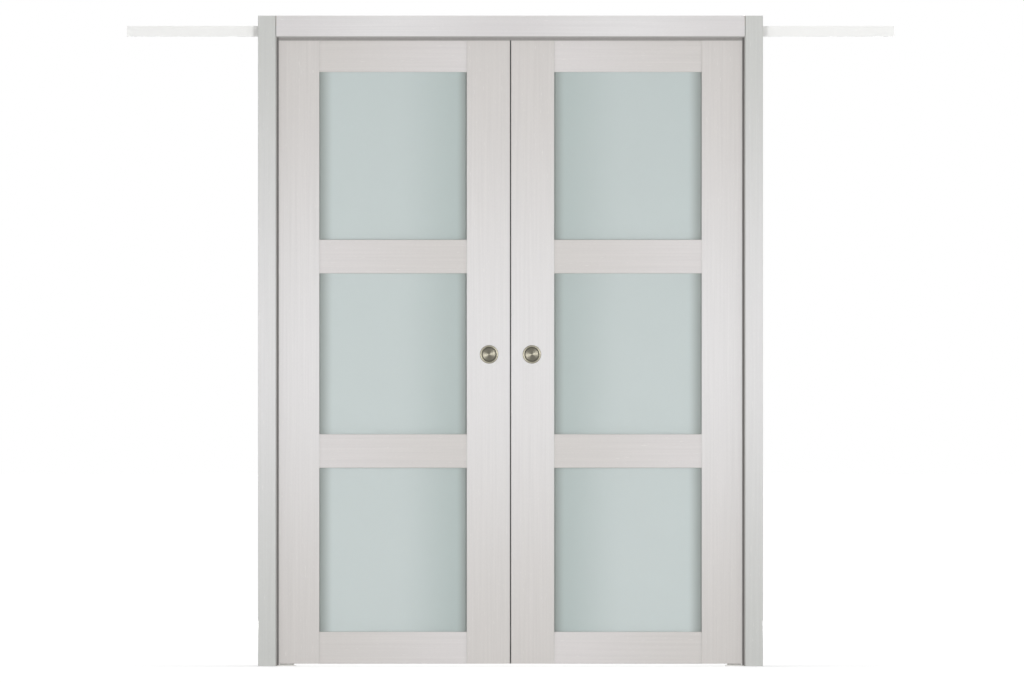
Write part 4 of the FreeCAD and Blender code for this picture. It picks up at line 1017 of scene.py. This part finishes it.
class SealOperator(bpy.types.Operator):
    """Plant the pile of the side and head seals, and ease the meeting seals"""

    bl_idname = "pocketdoor.fit_seals"
    bl_label = "Fit Seals"

    def execute(self, context):
        form = context.scene.pocketdoor_seals
        # Extruded rubber: near black, with a dull sheen
        rubber = painted("seal_rubber", form.rubber, roughness=0.6, grain=0.7 * MM, depth=0.03 * MM)
        for side in SIDES:
            self.press_nose(form, rubber, f"meeting_seal_{side}")
        # Cut pile on a woven backing: soft grey tufts that take the light unevenly, on a duller strip
        pile = {"roughness": 0.85, "grain": 0.5 * MM, "depth": 0.1 * MM, "mottle": 0.12}
        woven = {"roughness": 0.8, "grain": 0.9 * MM, "depth": 0.1 * MM, "mottle": 0.1}
        finishes = [
            painted("side_pile", form.side_pile, **pile),
            painted("side_backing", form.side_strip, **woven),
            # The head copies are paler: painted light on the head seals
            painted("head_pile", form.head_pile, **pile),
            painted("head_backing", form.head_strip_painted_light, **woven),
        ]
        strips = solids_of("pile_seals")
        heads = [box for box in strips if box[1].x - box[0].x > box[1].z - box[0].z]
        sides = [box for box in strips if box not in heads]
        seals = bmesh.new()
        tree = tuft_tree()
        for first, boxes in ((0, sides), (2, heads)):
            self.plant(form, tree, seals, boxes, finishes, first)
        bmesh.ops.recalc_face_normals(seals, faces=seals.faces)
        mesh = mesh_of(seals, "pile_seals_planted", *finishes)
        stand_in(smooth(mesh, ROUND_CRISP), "pile_seals_planted", "pile_seals")
        return {"FINISHED"}

    def press_nose(self, form, rubber, node):
        """Ease a meeting seal and press its nose out until it all but touches the other leaf's seal."""
        mesh = eased_copy(node, form.ease, rubber)
        nose = min(abs(vertex.co.x) for vertex in mesh.vertices)
        for vertex in mesh.vertices:
            if abs(vertex.co.x) < nose + MERGE:
                vertex.co.x = math.copysign(form.nose_gap / 2, vertex.co.x)
        stand_in(mesh, f"{node}_eased", node)

    def plant(self, form, tree, seals, boxes, finishes, first):
        """Lay the backing of some strips and grow their tufts.

        The first of two finishes in a row is the pile's, and the next is the backing's.
        """
        spots = []
        edges = []
        for low, high in boxes:
            self.lay_strip(form, low, high, seals, first + 1, spots, edges)
        low, high = boxes[0]
        tufts = grow(
            tree, marks(spots, edges), spacing=form.spacing, tuft_length=high.y - low.y - form.backing,
            tuft_width=form.tuft_width, lean=form.lean, seed=form.seed, material=finishes[first],
        )
        for face in tufts.polygons:
            face.material_index = first
        seals.from_mesh(tufts)

    def lay_strip(self, form, low, high, seals, finish, spots, edges):
        """Lay one backing strip, and mark the lines along which its tufts stand."""
        face = math.copysign(1.0, low.y + high.y)
        slot = max(abs(low.y), abs(high.y))
        near = slot - form.backing
        ys = sorted((face * near, face * slot))
        box = [(x, y, z) for x in (low.x, high.x) for y in ys for z in (low.z, high.z)]
        corners = [seals.verts.new(corner) for corner in box]
        # The six faces of the strip, by its corners
        for loop in ((0, 1, 3, 2), (4, 6, 7, 5), (0, 4, 5, 1), (2, 3, 7, 6), (0, 2, 6, 4), (1, 5, 7, 3)):
            seals.faces.new([corners[i] for i in loop]).material_index = finish
        toward = (0.0, -face, 0.0)
        edge = form.tuft_width / 2
        step = (form.pile_width - 2 * edge) / max(form.rows - 1, 1)
        for row in range(form.rows):
            reach = edge + row * step
            if high.z - low.z > high.x - low.x:
                inner = math.copysign(1.0, low.x + high.x)
                x = inner * (min(abs(low.x), abs(high.x)) + reach)
                ends = [Vector((x, face * near, low.z + edge)), Vector((x, face * near, high.z - edge))]
            else:
                z = low.z + reach
                ends = [Vector((low.x + edge, face * near, z)), Vector((high.x - edge, face * near, z))]
            edges.append((len(spots), len(spots) + 1))
            spots += [(end, toward) for end in ends]


class TrackOperator(bpy.types.Operator):
    """Coat the track, and finish its stops and the floor guides"""

    bl_idname = "pocketdoor.run_track"
    bl_label = "Run Track"

    def execute(self, context):
        finish = context.scene.pocketdoor_hardware
        # Baked powder coat: white, with a faint pebbled gloss
        coat = painted(
            "white_powder_coat", finish.track,
            roughness=0.45, grain=1.2 * MM, depth=0.03 * MM, mottle=0.01,
        )
        # Moulded plastic: mid grey and satin
        stop = painted("moulded_stop", finish.stop, roughness=0.5, grain=0.6 * MM, depth=0.03 * MM)
        # Moulded rubber: dark and dull
        buffer = painted("buffer_rubber", finish.buffer, roughness=0.75, grain=0.6 * MM, depth=0.03 * MM)
        # Moulded nylon: white and a little waxy
        guide = painted("guide_nylon", finish.guide, roughness=0.45, **NYLON_SKIN)
        finish_nodes(coat, "track")
        ease_nodes(stop, "stop_plastic", finish.ease, "track_stops")
        ease_nodes(buffer, "buffer_rubber", finish.ease, "stop_buffers")
        ease_nodes(guide, "guide_plastic", finish.ease, "floor_guides")
        return {"FINISHED"}


class HangerOperator(bpy.types.Operator):
    """Hang the leaves: brackets, bolts, carriages, axles and wheels"""

    bl_idname = "pocketdoor.hang_leaves"
    bl_label = "Hang Leaves"

    def execute(self, context):
        finish = context.scene.pocketdoor_hardware
        # Bright zinc plating: cloudy silver with soft reflections
        zinc = painted("bright_zinc", finish.zinc, roughness=0.34, grain=0.8 * MM, **ZINC_SKIN)
        # Natural nylon: off-white and waxy
        nylon = painted("wheel_nylon", finish.wheel, roughness=0.4, **NYLON_SKIN)
        bolts = bolt_tree()
        for side in SIDES:
            plated = (f"hanger_brackets_{side}", f"carriages_{side}", f"axles_{side}")
            ease_nodes(zinc, "zinc_steel", finish.ease, *plated)
            ease_nodes(nylon, "wheel_nylon", finish.ease, f"inner_wheels_{side}", f"outer_wheels_{side}")
            self.fit_bolts(bolts, finish, zinc, f"hanger_bolts_{side}")
        return {"FINISHED"}

    def fit_bolts(self, tree, finish, zinc, node):
        """Grow the bolts and their lock nuts in the places of the CAD ones."""
        solids = solids_of(node)
        tallest = max(high.z - low.z for low, high in solids)
        shafts = [box for box in solids if box[1].z - box[0].z > tallest - MERGE]
        nuts = [box for box in solids if box not in shafts]
        low, high = shafts[0]
        nut_low, nut_high = nuts[0]
        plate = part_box(node.replace("bolts", "brackets"))[0].z
        tops = [(above_middle(box, box[1].z), (0.0, 0.0, 1.0)) for box in shafts]
        mesh = grow(
            tree, marks(tops), span=high.x - low.x, head_height=plate - low.z,
            shank_radius=finish.bolt_shank, shank_length=high.z - plate, pitch=finish.bolt_pitch,
            nut_height=nut_high.z - nut_low.z, nut_drop=high.z - nut_high.z, material=zinc,
        )
        stand_in(smooth(mesh, HARDWARE_CRISP), f"{node}_threaded", node)


class ScrewOperator(bpy.types.Operator):
    """Drive the screws of the header, the track and the brackets"""

    bl_idname = "pocketdoor.drive_screws"
    bl_label = "Drive Screws"

    def execute(self, context):
        finish = context.scene.pocketdoor_hardware
        # Bright zinc plating: as on the hangers, a little glossier
        zinc = painted("zinc_screw", finish.zinc, roughness=0.3, grain=0.6 * MM, **ZINC_SKIN)
        tree = screw_tree()
        small = (finish.small_head, finish.small_shank)
        self.drive(tree, finish, zinc, "frame_screws", 1.0, finish.frame_head, finish.frame_shank)
        self.drive(tree, finish, zinc, "track_screws", -1.0, *small)
        for side in SIDES:
            self.drive(tree, finish, zinc, f"bracket_screws_{side}", 1.0, *small)
        return {"FINISHED"}

    def drive(self, tree, finish, zinc, node, up, head_height, shank_radius):
        """Grow a node's screws in the places of its solids, with their heads up or down."""
        solids = solids_of(node)
        low, high = solids[0]
        spots = []
        for box in solids:
            seat = box[1].z - head_height if up > 0 else box[0].z + head_height
            spots.append((above_middle(box, seat), (0.0, 0.0, up)))
        mesh = grow(
            tree, marks(spots), head_radius=(high.x - low.x) / 2, head_height=head_height,
            shank_radius=shank_radius, shank_length=high.z - low.z - head_height,
            pitch=finish.thread_pitch, tip_length=finish.screw_tip, recess=finish.recess_width,
            material=zinc,
        )
        stand_in(smooth(mesh, HARDWARE_CRISP), f"{node}_driven", node)


OPERATORS = (
    StageOperator, LeafOperator, TrimOperator, GlassOperator, PullOperator, SealOperator, TrackOperator,
    HangerOperator, ScrewOperator,
)
SETTINGS = {
    "pocketdoor_veneer": VeneerFinish,
    "pocketdoor_glass": GlassFinish,
    "pocketdoor_pulls": PullForm,
    "pocketdoor_seals": SealForm,
    "pocketdoor_hardware": HardwareFinish,
    "pocketdoor_stage": StageSetup,
}


class DoorPanel(bpy.types.Panel):
    """The door's settings and the steps that build its looks"""

    bl_idname = "POCKETDOOR_PT_door"
    bl_label = "Double Pocket Door"
    bl_space_type = "VIEW_3D"
    bl_region_type = "UI"
    bl_category = "Pocket Door"

    def draw(self, context):
        for step in OPERATORS:
            self.layout.operator(step.bl_idname)
        for key in SETTINGS:
            group = getattr(context.scene, key)
            box = self.layout.box()
            box.label(text=type(group).__doc__)
            for name in type(group).__annotations__:
                box.prop(group, name)


CLASSES = (*SETTINGS.values(), *OPERATORS, DoorPanel)


def register():
    """Register the classes, and hang the settings on the scene."""
    for cls in CLASSES:
        bpy.utils.register_class(cls)
    for key, group in SETTINGS.items():
        setattr(bpy.types.Scene, key, PointerProperty(type=group))


def unregister():
    """Undo what register does, in the other order."""
    for key in SETTINGS:
        delattr(bpy.types.Scene, key)
    for cls in reversed(CLASSES):
        bpy.utils.unregister_class(cls)


def main():
    """Dress the door."""
    register()
    bpy.ops.pocketdoor.set_stage()
    bpy.ops.pocketdoor.veneer_leaves()
    bpy.ops.pocketdoor.finish_trim()
    bpy.ops.pocketdoor.glaze_leaves()
    bpy.ops.pocketdoor.turn_pulls()
    bpy.ops.pocketdoor.fit_seals()
    bpy.ops.pocketdoor.run_track()
    bpy.ops.pocketdoor.hang_leaves()
    bpy.ops.pocketdoor.drive_screws()


if __name__ == "__main__":
    main()
